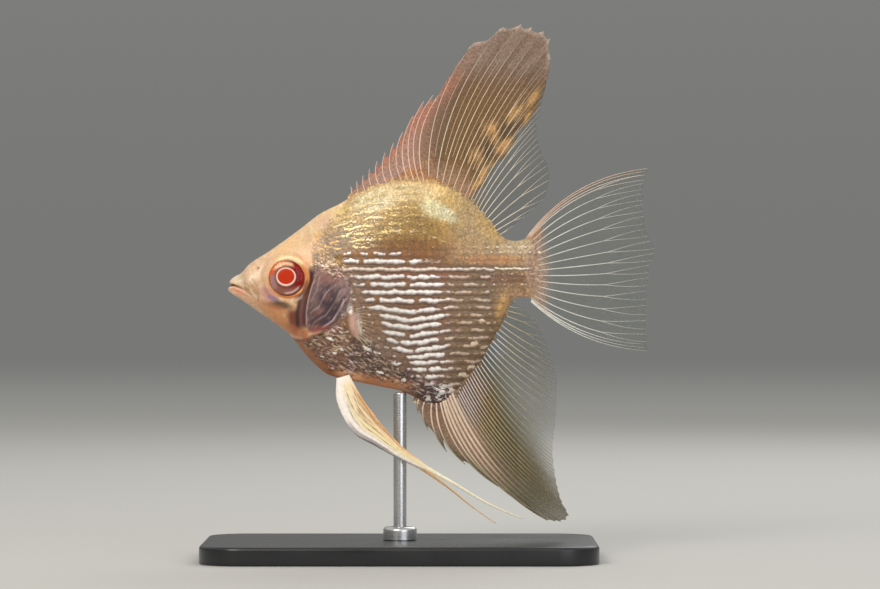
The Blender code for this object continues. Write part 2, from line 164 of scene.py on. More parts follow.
# Upper and lower edge of the body in side view, and its half width, all over x.
BACK = curve(
    (-36.8, 58.1), (-36.3, 59.6), (-35.3, 60.5), (-34.1, 61.1), (-32.1, 63.2), (-27.8, 66),
    (-21.4, 70.6), (-17.1, 73.9), (-12.8, 76.1), (-8.6, 78.5), (-4.3, 80.2), (0, 81),
    (2.1, 81.2), (4.3, 81), (8.6, 80.2), (12.8, 78), (17.1, 74.6), (21.4, 69.5),
    (22.9, 68.4), (24.6, 68.1), (26.6, 68.5), (28.4, 69.5), (30.2, 70.9))
BELLY = curve(
    (-36.8, 57.3), (-35.9, 56.5), (-34.2, 55.4), (-29.9, 52.4), (-25.7, 49.5), (-23.5, 47.7),
    (-22, 45.8), (-19.2, 42.4), (-15, 39.1), (-12.8, 38.5), (-4.3, 36.7), (0, 35.8),
    (2.4, 34.8), (5.3, 33.2), (7.7, 32.9), (9.6, 33.6), (11.8, 35.7), (14.5, 38.7),
    (17.1, 42.1), (19.2, 45.8), (21.4, 50), (23.1, 53.4), (24.2, 55.3), (25.7, 55.8),
    (27.5, 55.7), (30.2, 54.2))
HALF_WIDTH = curve(
    (-36.8, 0.7), (-36.2, 1.4), (-34.6, 2.2), (-32, 2.9), (-28, 3.7), (-24, 4.5),
    (-18, 5.3), (-12, 5.5), (-4, 5.3), (5, 4.6), (14, 3.5), (20, 2.6),
    (25, 2), (28, 1.6), (30.2, 1.2))
# How sharp the back and belly edges of the lens-shaped sections are, over x.
EDGE_POWER = curve(
    (-36.8, 1), (-32, 1.05), (-22, 1.3), (-10, 1.45), (14, 1.45), (24, 1.2), (30.2, 1.1))
# Rear edge of the tail stem as (x, z), from top to bottom.
TAIL_END = curve((0, 28, 73), (1, 28.6, 68.9), (2, 29.8, 62), (3, 29.6, 54.8), (4, 29.4, 51))

COAT = 0.16   # the skin lies this far inside the solid, to leave room for scales

EYE_LOW, EYE_HIGH = (np.array(corner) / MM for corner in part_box("eye_left"))
EYE_X, EYE_Z = (EYE_LOW[0] + EYE_HIGH[0]) / 2, (EYE_LOW[2] + EYE_HIGH[2]) / 2
EYE_OUTER = -EYE_LOW[1]
IRIS_RADIUS = 3.72
RIM_X, RIM_Z = EYE_X + 0.36, EYE_Z + 0.2   # middle of the gold rim, a little up and back
RIM_PLANE = EYE_OUTER - 0.8   # how far out the skin stands round the eye

LIP_Z = 58.45                              # height of the slit between the lips
NOSTRIL_X, NOSTRIL_Z = -30.2, 62.1

# Lines of the head's side view, from front to back or top to bottom.
MOUTH = ((-37.4, 58.5), (-35.6, 58.5), (-34.6, 58.2), (-33.2, 57.5), (-31.9, 56.6), (-30.9, 55.4))
LIP_FOLD = ((-34, 61.4), (-33.5, 60), (-33.3, 58.6), (-33, 57.6))
JAW_FOLD = ((-31.4, 59.6), (-30.4, 58.2), (-30, 56.6), (-30.2, 55.2))
CHEEK_GROOVE = ((-18.4, 62.2), (-19.6, 58.6), (-20.7, 55.6), (-21.3, 52.4), (-21.2, 49.6))
CHEEK_RIDGE = ((-18.1, 60), (-18.9, 57.6), (-19.5, 55.4), (-19.9, 52.8), (-19.9, 50.2), (-19.2, 48.6))
COVER_EDGE = ((-13.4, 63.6), (-12.6, 62), (-10.9, 59.7), (-10.3, 56.4), (-11.2, 52.8),
        (-13.9, 50), (-17, 48.1), (-19.6, 47.4))
THROAT_FOLD = ((-16.7, 47.9), (-19.4, 46.9), (-22, 46.7), (-23.3, 47.2))
COVER_CREASES = (
    ((-19, 52.6), (-17.2, 53.9), (-15.6, 56.9), (-13.4, 58.6)),
    ((-18.2, 50.6), (-15.6, 52.2), (-13.6, 55), (-12.6, 57.3)),
    ((-16.4, 49.5), (-14.2, 51), (-12.6, 53.6), (-11.7, 55.4)),
    ((-18.7, 55.4), (-17.7, 57), (-17, 60.4)))


def flank(x, z):
    """Half width of the plain body at side-view points, and how far up or down its edge they are.

    Each section is a lens: y = w * (1 - t^2)^(e/2), with t from -1 at the belly to 1 at the back.
    """
    top, low = BACK(x), BELLY(x)
    t = np.clip((z - (top + low) / 2) / ((top - low) / 2), -1, 1)
    return HALF_WIDTH(x) * (1 - t * t) ** (EDGE_POWER(x) / 2), t


def relief(x, z, y):
    """Half width with the head's features: orbit, lips, folds, gill cover and pectoral base.

    Each is a round ridge or groove along its line, or a low oval swelling, added to the width y.
    """
    r = np.hypot(x - EYE_X, z - EYE_Z)
    socket = RIM_PLANE + 0.24 * hill(np.hypot(x - RIM_X, z - RIM_Z) - IRIS_RADIUS - 0.42, 0.36)
    socket = socket - 1.9 * ease(IRIS_RADIUS + 0.05, IRIS_RADIUS - 0.3, r)
    y = y + ease(5.7, 4.5, r) * (socket - y)

    front = ease(-30, -33.5, x)
    mouth = away(x, z, MOUTH)
    depth = 0.12 + 0.65 * ease(-33, -36.4, x)
    y = y - depth * hill(mouth, 0.15) * ease(-30.4, -32.5, x)
    y = y + 0.2 * front * (hill(mouth + 0.62, 0.4) + hill(mouth - 0.55, 0.36))
    y = y + 0.16 * spot(x, z, (-35, 59.9), (1.3, 0.9), 35)
    y = y - 0.16 * hill(away(x, z, LIP_FOLD), 0.16) - 0.1 * hill(away(x, z, JAW_FOLD), 0.3)
    y = y + 0.12 * spot(x, z, (-31.9, 58.6), (1.2, 1.7), 25)
    nostril = np.hypot(x - NOSTRIL_X, z - NOSTRIL_Z)
    y = y + 0.07 * hill(nostril - 0.42, 0.16) - 0.3 * hill(nostril, 0.24)

    groove = away(x, z, CHEEK_GROOVE)
    y = y - 0.22 * hill(groove, 0.5) + 0.16 * hill(away(x, z, CHEEK_RIDGE), 0.2)
    y = y + 0.18 * spot(x, z, (-23.6, 52.6), (2.2, 3), 20)
    edge = away(x, z, COVER_EDGE)
    inside = ease(-0.05, 0.12, edge) * ease(-19.8, -18.6, x) * ease(64, 62.4, z)
    behind = hill(np.minimum(edge, 0) + 0.28, 0.3) * (edge < 0)
    y = y + 0.3 * inside - 0.22 * behind * ease(-20.5, -18.5, x)
    for number, crease in enumerate(COVER_CREASES):
        y = y + (0.13 if number < 2 else 0.07) * inside * hill(away(x, z, crease), 0.17)
    y = y + 0.03 * inside * ripple(x * 2.2 - z, z * 0.3, 5, 3)
    y = y - 0.18 * hill(away(x, z, THROAT_FOLD), 0.25)
    y = y + 0.55 * spot(x, z, (-9.7, 50), (1.25, 2.9), 14, 0.5)
    return y * (1 - 0.85 * ease(26.6, 30.2, x))


def skin_point(x, z, side, lift=0):
    """Points on the finished skin, raised by lift along the surface normal."""
    def depth(px, pz):
        """Half width of the skin at side-view points."""
        y, _ = flank(px, pz)
        return relief(px, pz, y) - COAT

    step, steepest = 0.06, 2.5
    y = depth(x, z)
    dx = (depth(x + step, z) - depth(x - step, z)) / (2 * step)
    dz = (depth(x, z + step) - depth(x, z - step)) / (2 * step)
    dx, dz = np.clip(dx, -steepest, steepest), np.clip(dz, -steepest, steepest)
    size = np.sqrt(1 + dx * dx + dz * dz)
    return np.stack([x - lift * dx / size, side * (np.maximum(y, 0.02) + lift / size),
            z - lift * dz / size], axis=-1)


# ---------------- markings shared by skin and scales

PATCHES = (
    # colour, middle, radii, lean, strength
    ("#DCC8AC", (-35.3, 59.8), (1.2, 1), 35, 0.9),  # upper lip
    ("#E9BE9E", (-35.8, 57.3), (1.4, 0.8), -35, 0.8),  # lower lip
    ("#F09C74", (-34.2, 57), (1.6, 0.42), -30, 0.85),  # streak on the lower jaw
    ("#DDA988", (-31.8, 55.2), (2.2, 0.7), -35, 0.6),
    ("#B07850", (-29, 53.9), (2.6, 0.9), -38, 0.55),  # shade along the jaw
    ("#AFA182", (-33.4, 59.7), (0.9, 1.1), 20, 0.6),  # marks behind the upper lip
    ("#94794F", (-32.6, 58.1), (0.6, 0.9), 30, 0.7),
    ("#9A7048", (-31, 57.5), (0.5, 1.5), 30, 0.65),
    ("#E7C7A4", (-30, 61.6), (2.6, 1.6), 35, 0.5),  # snout
    ("#C07E80", (-28, 56.8), (1.9, 1.3), -30, 0.65),  # mauve under the eye
    ("#9A7C9E", (-27, 55.6), (1.4, 0.55), -20, 0.75),
    ("#A4664E", (-27.6, 54.3), (1.8, 0.7), -30, 0.5),
    ("#4E3826", (-25.4, 54.2), (2.3, 0.85), -8, 0.9),  # olive smudge under the eye
    ("#B8703E", (-24.6, 52.9), (4.2, 0.7), -22, 0.6),
    ("#C4824F", (-25.6, 51.2), (3.6, 1.3), -36, 0.7),  # chin
    ("#6A2A1C", (-22.4, 51.2), (1.4, 2.4), 12, 0.92),  # rust before the gill groove
    ("#A55C38", (-21.8, 48.6), (2.6, 1.1), -28, 0.75),
    ("#E9C08A", (-24.2, 66.4), (3.6, 1.3), 38, 0.6),  # brow
    ("#E8A46C", (-20.4, 65), (2, 1.4), 40, 0.55),
    ("#CC9E6C", (-18.4, 67.4), (2, 2.4), 40, 0.5),
    ("#FBEBBE", (-4.5, 77), (5.8, 2.2), 18, 0.9),  # bright crown of the back
    ("#F0D49C", (2.6, 78.4), (6.4, 1.9), 0, 0.85),
    ("#E6E0B4", (7.2, 74.8), (3, 1.9), -28, 0.75),  # milky spots
    ("#DCD9BA", (10.4, 73.4), (2, 1.3), -35, 0.6),
    ("#8C6A2C", (3.2, 71.8), (5, 2), -4, 0.55),  # olive field under the crown
    ("#7A4D12", (1.8, 66.4), (8, 2.2), 0, 0.75),  # brown field above the silver rows
    ("#A87E52", (14.5, 66.5), (5.5, 2.6), -10, 0.35),
    ("#C09A5E", (18.5, 70.6), (3.4, 1.4), -48, 0.6),  # gold behind the dorsal fin
    ("#9C6234", (-8.4, 65.4), (4.6, 1.2), 3, 0.45),  # rust bands over the silver rows
    ("#86705E", (-9, 56.6), (1.5, 4.6), 6, 0.6),  # shade behind the gill cover
    ("#9E7048", (-14.2, 62.2), (3.4, 1.3), -18, 0.6),
    ("#BC9460", (-12.8, 62.8), (1.6, 1.1), -18, 0.7),  # duller scales over the gill cover
    ("#E49C5C", (-19.6, 63.9), (1.4, 0.7), -38, 0.7),  # orange streak behind the eye
    ("#4E3A3A", (2.4, 38.4), (3.2, 1.6), -32, 0.7),  # front of the mauve patch
    ("#D2AA90", (-15.8, 71.6), (2.2, 1.4), 38, 0.6),
    ("#ECCB8C", (-12.4, 73.6), (2.4, 2), 35, 0.6),  # pale skin of the nape
    ("#8C5628", (1.2, 64.6), (5, 0.9), -2, 0.4),
    ("#98522A", (5, 60.6), (9, 0.9), 0, 0.5),
    ("#C09660", (22, 54.2), (1.3, 2.9), -24, 0.85),  # bare tan skin by the anal base
    ("#B5763E", (19, 64), (6, 1), 0, 0.6),  # tail stem
    ("#6F4734", (23.4, 60), (6, 1.3), 0, 0.6),
    ("#BC9474", (25.8, 56.5), (3.2, 0.7), 0, 0.8),
    ("#BFAA88", (25.4, 66.6), (3.8, 1.5), 0, 0.8),
    ("#B8967E", (28.8, 62), (1.7, 5.4), 0, 0.8),
    ("#B87C56", (-4.4, 37.9), (7.4, 1.3), -8, 0.9),
    ("#DCA47C", (-10.4, 39.2), (3, 1), -8, 0.8),  # keel between pelvic and anal fin
    ("#4A3434", (7.2, 35.2), (3.9, 2.6), -10, 0.88),  # mauve patch by the anal spines
    ("#54423C", (-6.6, 42.6), (5, 2.6), -35, 0.7),  # chest shadow
    ("#C07468", (-16.8, 49), (2.2, 0.6), 8, 0.85),  # pink lower edge of the gill cover
    ("#C8A090", (-9.5, 49.8), (1.1, 2.7), 14, 0.95),  # pectoral base
    ("#F4E4D6", (-8.6, 50.2), (0.35, 2.4), 12, 0.9),
    ("#FFF8F0", (-10.8, 53.6), (0.5, 1.2), 22, 0.95),  # glints behind the gill cover
    ("#FFF8F0", (-12, 52.6), (0.4, 0.6), 0, 0.9),
)
GLINTS = (
    # middle, radii, lean of the single bright scales of chest, anal base and rear flank
    ((-14.8, 47.1), (1, 0.4), -32), ((-9.4, 47.3), (0.6, 0.5), -20), ((-7, 45), (1.3, 0.4), -38),
    ((-4.6, 44.2), (1, 0.35), -18), ((-12.1, 44.8), (1, 0.35), -25), ((-13.9, 44), (0.6, 0.4), -20),
    ((-4.2, 39.9), (1.1, 0.35), -8), ((0.8, 38.2), (0.6, 0.5), 20), ((6, 37.3), (0.9, 0.3), 10),
    ((9, 37), (1, 0.3), -18), ((10.8, 36.6), (0.9, 0.35), -30), ((8.8, 35.4), (0.9, 0.3), 25),
    ((13.2, 39.6), (1, 0.35), 20), ((15, 41), (0.9, 0.3), 15), ((6, 34.3), (0.7, 0.25), 20),
    ((-16.4, 43.4), (0.6, 0.3), -25), ((-1, 41.8), (0.9, 0.3), -25), ((17.4, 50.9), (0.8, 0.24), 4),
    ((16.1, 46.3), (0.7, 0.22), 6), ((17.8, 45.2), (0.7, 0.22), 14))
BARE_EDGE = (   # where the scaleless head ends
    (-10.4, 82), (-10.9, 77.2), (-13.9, 72.6), (-17.8, 69.6), (-18.9, 66), (-18.6, 62.9),
    (-17.2, 61.2), (-14.6, 60.4), (-12.3, 59.5), (-10.9, 57.8), (-10.3, 56), (-11.2, 52.8),
    (-13.9, 50), (-19.4, 46.9), (-24, 46.6))


def head_share(x, z):
    """1 on the scaleless head and 0 where the scaled nape, temple and flank begin."""
    return ease(-0.35, 0.35, away(x, z, BARE_EDGE))


def body_ground(x, z):
    """Colour of the scaled body without its patches: gold above, brown at mid height, dusky below."""
    depth = BACK(x) - z
    crown, rear = ease(64, 68, z), 0.85 * ease(8, 15, x)
    return layered(
        "#845E40", x,
        ("#7E604C", ease(52, 44, z)),
        ("#8A5F34", ease(58.5, 64, z)),
        ("#9C7632", ease(65, 69, z)),
        ("#B79042", ease(69, 74, z)),
        ("#7E5A22", ease(-9, -13, x) * ease(60, 64, z)),
        ("#CCA663", ease(7, 2.6, depth) * ease(65, 70, z)),
        ("#B8925A", ease(3, 0.8, depth) * ease(10, 4, x) * crown),
        ("#B0784A", ease(0.1, -0.9, depth) * crown),
        ("#7E6442", ease(66, 62, z) * rear),
        ("#A78F66", ease(62, 66, z) * rear),
        ("#AC8A62", 0.6 * ease(19, 25, x)),
        ("#7A5644", 0.9 * ease(-8, -13, x) * ease(48.5, 46, z)),
        ("#96603E", ease(3, 1.6, z - BELLY(x)) * ease(-11, -14.5, x)))


def gill_coats(x, z):
    """Coats of colour on the gill cover and on the dark strip before it: streaks, creases, clouds."""
    groove, ridge, edge = (away(x, z, line) for line in (CHEEK_GROOVE, CHEEK_RIDGE, COVER_EDGE))
    cloud = ripple(x, z, 31, 4)
    scratch = ripple(0.26 * (0.64 * x + 0.77 * z), 0.77 * x - 0.64 * z, 34, 0.8)
    plate = ease(-0.25, 0.35, edge) * ease(0.15, -0.15, ridge)
    plate = plate * ease(62.7, 60.9, z + 0.7 * cloud) * ease(48, 49.4, z)
    strip = ease(1.3, 0.6, groove) * ease(-0.25, 0.1, ridge)
    strip = strip * ease(48.6, 50.4, z) * ease(63.2, 61.2, z + 0.6 * cloud)
    coats = [
        ("#583C42", 0.92 * plate),
        ("#92665A", 0.85 * plate * ease(57.4, 60.6, z + 0.5 * cloud)),
        ("#745C58", 0.6 * plate * spot(x, z, (-17.4, 56.4), (1.4, 2.6), -12)),
        ("#35222E", 0.8 * plate * spot(x, z, (-15, 55.6), (2, 2.4), 30)),
        ("#A0847E", 0.6 * plate * spot(x, z, (-12.2, 57.2), (1.5, 2.6), -10)),
        ("#3A2630", 0.8 * plate * spot(x, z, (-14.8, 52), (2.8, 1.2), 42)),
        ("#7C5450", 0.55 * plate * ease(0.2, 0.8, cloud)),
        ("#B4968E", 0.36 * plate * ease(0.3, 0.95, scratch)),
        ("#2A1820", 0.4 * plate * ease(0.3, 0.95, -scratch)),
        ("#3E1618", 0.96 * strip),
        ("#8A5A52", 0.55 * strip * hill(groove + 0.2, 0.35) * ease(59, 56, z)),
        ("#C9A8A4", 0.75 * hill(ridge + 0.05, 0.13) * ease(60.6, 58.6, z) * ease(49.4, 50.6, z))]
    for crease, pale, dark in zip(COVER_CREASES, (0.4, 0.3, 0.85, 0.35), (0.3, 0.75, 0.7, 0)):
        gap = away(x, z, crease)
        coats += [("#33202C", plate * dark * hill(gap + 0.5, 0.4)),
                ("#D2BCBC", plate * pale * (0.8 + 0.4 * cloud) * hill(gap, 0.14))]
    rear = hill(edge + 0.05, 0.16) * ease(-16, -14, x) * ease(60, 58, z)
    return coats + [("#D9C0BC", 0.6 * rear * ease(-0.5, 0.5, scratch))]


def rim_coats(x, z):
    """Coats of colour on the gold rim round the iris: palest above, rusty below."""
    rim = ease(IRIS_RADIUS - 0.3, IRIS_RADIUS + 0.1, np.hypot(x - EYE_X, z - EYE_Z))
    rim = rim * ease(4.75, 4.25, np.hypot(x - RIM_X, z - RIM_Z))
    return [("#E6A05A", 0.95 * rim)] + [
        (colour, rim * spot(x, z, (EYE_X + back, EYE_Z + up), radii, lean))
        for colour, back, up, radii, lean in (
            ("#FDE9B6", 1.2, 4.2, (3.4, 1.5), 0), ("#D88A52", 4.2, -0.6, (0.9, 2.6), 0),
            ("#E8B488", -3.4, 2, (0.9, 1.8), -30), ("#C06A30", 0.6, -4.2, (3.2, 1), 0))]


def markings(x, z):
    """Colour of skin or scale ground at side-view points, as linear RGB."""
    face = layered(
        "#DAAE84", x,
        ("#DEBC8E", ease(62, 68, z)),
        ("#C08658", 0.8 * ease(55, 49, z)),
        ("#D2AE8A", ease(-27, -31, x)),
        ("#E2B09A", 0.4 * ease(0, 0.8, ripple(x, z, 91, 3))),
        ("#E8D4AE", 0.4 * ease(0, 0.8, ripple(x, z, 92, 2.2))))
    mouth = away(x, z, MOUTH)
    coats = [(face, head_share(x, z))]
    coats += [(colour, strength * spot(x, z, middle, radii, lean, 0.5))
            for colour, middle, radii, lean, strength in PATCHES]
    coats += gill_coats(x, z)
    coats += [("#43251E", 0.7 * hill(away(x, z, THROAT_FOLD), 0.28))]
    coats += rim_coats(x, z)
    coats += [
        ("#6A4026", 0.8 * spot(x, z, (-21, 56), (1.7, 0.8), 38)),
        ("#5A2E22", 0.7 * spot(x, z, (-20.1, 57.8), (0.6, 1.9), -14)),
        ("#8E4A40", 0.75 * spot(x, z, (-16.9, 49.2), (2.4, 0.6), 8)),
        ("#C88C7C", 0.6 * spot(x, z, (-16.2, 48.6), (2.2, 0.26), 8)),
        ("#4A2018", 0.85 * hill(mouth, 0.14) * ease(-32.5, -35, x)),
        ("#A2674A", 0.5 * hill(mouth, 0.2) * ease(-30.6, -32, x)),
        ("#8E6444", 0.4 * hill(away(x, z, JAW_FOLD), 0.22)),
        ("#7A5040", 0.7 * hill(np.hypot(x - NOSTRIL_X, z - NOSTRIL_Z), 0.28))]
    return layered(body_ground(x, z), x, *coats)


# ---------------- meshes

def add_object(name, data):
    """New object in the scene."""
    thing = bpy.data.objects.new(name, data)
    bpy.context.scene.collection.objects.link(thing)
    return thing


def add_mesh(name, points, faces, mat, replaces=(), sharp=None):
    """New piece from points in millimetres, shaded smooth up to the sharp angle in degrees, if any.

    It rides on the frame's one body.
    """
    mesh = bpy.data.meshes.new(name)
    mesh.from_pydata((np.asarray(points, float).reshape(-1, 3) * MM).tolist(), [], faces)
    mesh.validate()
    mesh.shade_smooth()
    if sharp:
        mesh.set_sharp_from_angle(angle=math.radians(sharp))
    mesh.materials.append(mat)
    piece = add_object(name, mesh)
    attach(piece, "root")
    if replaces:
        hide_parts(*replaces)
    return piece


def paint(piece, colours, name="marking"):
    """Store one colour for each vertex."""
    layer = piece.data.attributes.new(name, "FLOAT_COLOR", "POINT")
    values = np.ones((len(piece.data.vertices), 4), np.float32)
    values[:, :3] = np.asarray(colours).reshape(-1, 3)
    layer.data.foreach_set("color", values.ravel())


def weigh(piece, name, values):
    """Store one number for each vertex."""
    layer = piece.data.attributes.new(name, "FLOAT", "POINT")
    layer.data.foreach_set("value", np.asarray(values, np.float32).ravel())


def lay_out(piece, name, corner_uv):
    """Store a UV map from one (u, v) for each face corner."""
    layer = piece.data.uv_layers.new(name=name)
    layer.data.foreach_set("uv", np.asarray(corner_uv, np.float32).ravel())


def grid_faces(rows, columns, wrap=False):
    """Quads over a rows by columns grid of points; wrap joins the last column to the first."""
    reach = columns if wrap else columns - 1
    r, c = np.meshgrid(np.arange(rows - 1), np.arange(reach), indexing="ij")
    d = (c + 1) % columns
    quads = np.stack([r * columns + c, (r + 1) * columns + c, (r + 1) * columns + d, r * columns + d], -1)
    return quads.reshape(-1, 4)


def tube_corners(rows, columns):
    """(u, v) of every corner of tube_faces: u along the rows, v along the columns, caps at 0 and 1."""
    r, c = np.meshgrid(np.arange(rows - 1), np.arange(columns), indexing="ij")
    u = np.stack([r, r + 1, r + 1, r], -1) / (rows - 1)
    v = np.stack([c, c, c + 1, c + 1], -1) / columns
    wall = np.stack([u, v], -1).reshape(-1, 2)
    return np.vstack([wall, np.zeros((columns, 2)), np.ones((columns, 2))])


def tube_faces(rows, columns, flip=False):
    """Faces of a closed tube: a wrapped grid and a cap on each end; flip turns them all round."""
    count = rows * columns
    faces = grid_faces(rows, columns, wrap=True).tolist()
    faces += [list(range(columns)), list(range(count - columns, count))[::-1]]
    return [face[::-1] for face in faces] if flip else faces


def film_faces(rows, columns):
    """Quads of a closed film: a grid, a second copy of it turned round, and the wall between."""
    count = rows * columns
    face = grid_faces(rows, columns)
    rim = np.concatenate([
        np.arange(columns), columns * np.arange(2, rows + 1) - 1,
        count - 1 - np.arange(1, columns), columns * np.arange(rows - 2, 0, -1)])
    ahead = np.roll(rim, -1)
    wall = np.stack([rim, ahead, ahead + count, rim + count], -1)
    return np.vstack([face, face[:, ::-1] + count, wall])


# ---------------- materials

def add_node(tree, kind, inputs=(), **settings):
    """Add a shader node with its settings and links.

    Inputs are given in the order of the sockets or keyed by socket. Each is a value, a socket to
    link from, or a node, which gives its first output.
    """
    made = tree.nodes.new("ShaderNode" + kind)
    for key, value in settings.items():
        setattr(made, key, value)
    for key, value in inputs.items() if isinstance(inputs, dict) else enumerate(inputs):
        if isinstance(value, bpy.types.Node):
            value = value.outputs[0]
        if isinstance(value, bpy.types.NodeSocket):
            tree.links.new(value, made.inputs[key])
        else:
            made.inputs[key].default_value = value
    return made


def rgba(code):
    """Linear RGBA of an sRGB hex colour, for a colour socket."""
    return (*linear(code), 1)


def new_material(name):
    """Empty node material, and add_node for its tree."""
    mat = bpy.data.materials.new(name)
    mat.use_nodes = True
    mat.node_tree.nodes.clear()
    return mat, partial(add_node, mat.node_tree)


def grain(add, size_mm, stretch=(1, 1, 1), detail=4, lean=0):
    """Noise of about 0.3 to 0.7 with patches of size_mm, drawn out where stretch is below 1.

    With a lean in degrees its x axis runs up towards the tail.
    """
    where = add("TexCoord")
    place = add("Mapping", {
        "Vector": where.outputs["Object"], "Rotation": (0, -math.radians(lean), 0),
        "Scale": tuple(1 / part for part in stretch)}, vector_type="TEXTURE")
    return add("TexNoise", {
        "Vector": place, "Scale": 1 / (size_mm * MM), "Detail": detail, "Roughness": 0.6})


def mottled(add, colour, size_mm, dark, light, stretch=(1, 1, 1)):
    """Colour times a noise between dark and light, with patches of about size_mm."""
    noise = grain(add, size_mm, stretch)
    gain = add("MapRange", (noise, 0.3, 0.7, dark, light))
    return add("VectorMath", {0: colour, "Scale": gain}, operation="SCALE"), noise


def skin_material():
    """Fish skin under clear lacquer: soft satin flesh with a thin wet gloss and fine pores.

    Real pores lie about 0.1 mm apart, too fine to show, so they are drawn 0.28 mm apart.
    """
    mat, add = new_material("lacquered_fish_skin")
    colour, _ = mottled(add, add("Attribute", attribute_name="marking"), 0.55, 0.86, 1.12)
    where = add("TexCoord")
    pores = add("TexVoronoi", {"Vector": where.outputs["Object"], "Scale": 1 / (0.28 * MM)}, feature="F1")
    bump = add("Bump", {"Height": pores, "Strength": 0.25, "Distance": 0.04 * MM})
    shader = add("BsdfPrincipled", {
        "Base Color": colour, "Roughness": 0.42, "IOR": 1.4, "Normal": bump,
        "Coat Weight": 0.35, "Coat Roughness": 0.18,
        "Subsurface Weight": 0.12, "Subsurface Radius": (1, 0.35, 0.2), "Subsurface Scale": 0.8 * MM})
    add("OutputMaterial", {"Surface": shader})
    return mat


def scale_material(name, size_mm, dark, light, stretch, hem_colour):
    """Scales backed with guanine: silver bands along the rows, with dark lines between them.

    Along each row a white core lies in a mauve-grey hem, with brown pockets between the rows.
    Chest, temple and anal base have slanting strokes and loops of the same white. Each scale is
    palest a little before its free rim. Real guanine plates are a few hundredths of a millimetre,
    too fine to show, so scratches and strokes are drawn 0.26 and 0.55 mm wide.
    """
    mat, add = new_material(name)
    smooth = {"interpolation_type": "SMOOTHSTEP"}
    plus, minus, times, times_plus, scaled = (
        {"operation": word} for word in ("ADD", "SUBTRACT", "MULTIPLY", "MULTIPLY_ADD", "SCALE"))
    across, half, shine, curl, pocket = (
        add("Attribute", attribute_name=word).outputs["Fac"]
        for word in ("across", "half", "shine", "curl", "pocket"))
    marking, silver = (add("Attribute", attribute_name=word) for word in ("marking", "silver"))
    ground, speck = mottled(add, marking, size_mm, dark, light, stretch)
    scratch = grain(add, 0.26, (0.4, 1, 1.5))
    place = add("UVMap", uv_map="ScaleUV")
    along = add("SeparateXYZ", (place,))

    # hump is the lightness along one scale, room how far inside the silver's ragged edge a spot is
    hump = add("Math", (along, 4.24, -1.26), **times_plus)
    hump = add("Math", (hump,), operation="SINE")
    from_middle = add("Math", (across,), operation="ABSOLUTE")
    room = add("Math", (half, from_middle), **minus)
    for noise, depth in ((speck, 0.18), (scratch, 0.16)):
        ragged = add("Math", (noise, depth, -depth / 2), **times_plus)
        room = add("Math", (room, ragged), **plus)
    taper = add("MapRange", (along, 0.82, 1, 0, 0.065))
    room = add("Math", (room, taper), **minus)
    patchy = add("Math", (scratch, 1.2, -0.6), **times_plus)
    patchy = add("Math", (shine, patchy), **plus)
    fade = add("MapRange", (patchy, 0.3, 0.72, 0, 1), **smooth)
    core = add("MapRange", (room, 0.02, 0.14, 0, 1), **smooth)
    core = add("Math", (core, fade), **times)
    low_hem = add("MapRange", (across, -0.06, 0.06, -0.24, -0.08))
    hem = add("MapRange", (room, low_hem, 0.05, 0, 0.8), **smooth)
    hem = add("Math", (hem, fade), **times)

    # slanting strokes and loops; share is where the scale is silver for either reason
    swirl = add("Math", (grain(add, 1.9, (0.8, 1, 1.2), 1), 0.5), **minus)
    swirl = add("Math", (swirl,), operation="ABSOLUTE")
    loops = add("MapRange", (swirl, 0.012, 0.035, 0.85, 0), **smooth)
    specks = add("MapRange", (speck, 0.42, 0.54, 0, 1))
    loops = add("Math", (loops, specks), **times)
    strokes = grain(add, 0.55, (0.3, 1, 1), 1.5, -33)
    curls = add("MapRange", (strokes, 0.55, 0.66, 0, 1), **smooth)
    curls = add("Math", (loops, curls), operation="MAXIMUM")
    curls = add("Math", (curls, curl), **times)
    share = add("Math", (core, curls), operation="MAXIMUM")

    # gain darkens the ground between the rows, beside the silver and between the strokes
    beside = add("MapRange", (room, -0.36, -0.16, 0, 1), **smooth)
    beside = add("Math", (beside, shine), **times)
    below = add("MapRange", (across, -0.1, 0.1, 0.74, 0.44))
    beside = add("Math", (beside, below), **times)
    hollow = add("MapRange", (strokes, 0.36, 0.5, 0.55, 0))
    hollow = add("Math", (hollow, curl), **times)
    deep = add("Math", (pocket, -0.5, 1), **times_plus)
    gain = add("MapRange", (from_middle, 0.24, 0.5, 1.05, deep))
    humped = add("Math", (hump, 0.32, 0.82), **times_plus)
    gain = add("Math", (gain, humped), **times)
    for shade in (beside, hollow):
        kept = add("Math", (1, shade), **minus)
        gain = add("Math", (gain, kept), **times)

    # the ground, the hem over it, and the white over both, duller on its lower edge
    ground = add("VectorMath", {0: ground, "Scale": gain}, **scaled)
    dim = add("VectorMath", {0: silver, "Scale": 0.5}, **scaled)
    dim = add("Mix", {0: 0.6, 6: dim, 7: rgba(hem_colour)}, data_type="RGBA")
    light_hump = add("Math", (hump, 0.2, 0.86), **times_plus)
    pearl = add("VectorMath", {0: silver, "Scale": light_hump}, **scaled)
    lit = add("MapRange", (across, -0.2, 0.03, 0.7, 1))
    pearl = add("VectorMath", {0: pearl, "Scale": lit}, **scaled)
    colour = add("Mix", {0: hem, 6: ground, 7: dim.outputs[2]}, data_type="RGBA")
    colour = add("Mix", {0: share, 6: colour.outputs[2], 7: pearl}, data_type="RGBA")
    rings = add("TexWave", {"Vector": place, "Scale": 4, "Distortion": 1.2}, wave_type="BANDS")
    bump = add("Bump", {"Height": rings.outputs["Fac"], "Strength": 0.1, "Distance": 0.03 * MM})
    shader = add("BsdfPrincipled", {
        "Base Color": colour.outputs[2], "Roughness": add("MapRange", (share, 0, 1, 0.42, 0.24)),
        "Metallic": add("Math", (share, 0.28), **times), "IOR": 1.5, "Normal": bump,
        "Coat Weight": 0.2, "Coat Roughness": 0.12})
    add("OutputMaterial", {"Surface": shader})
    return mat


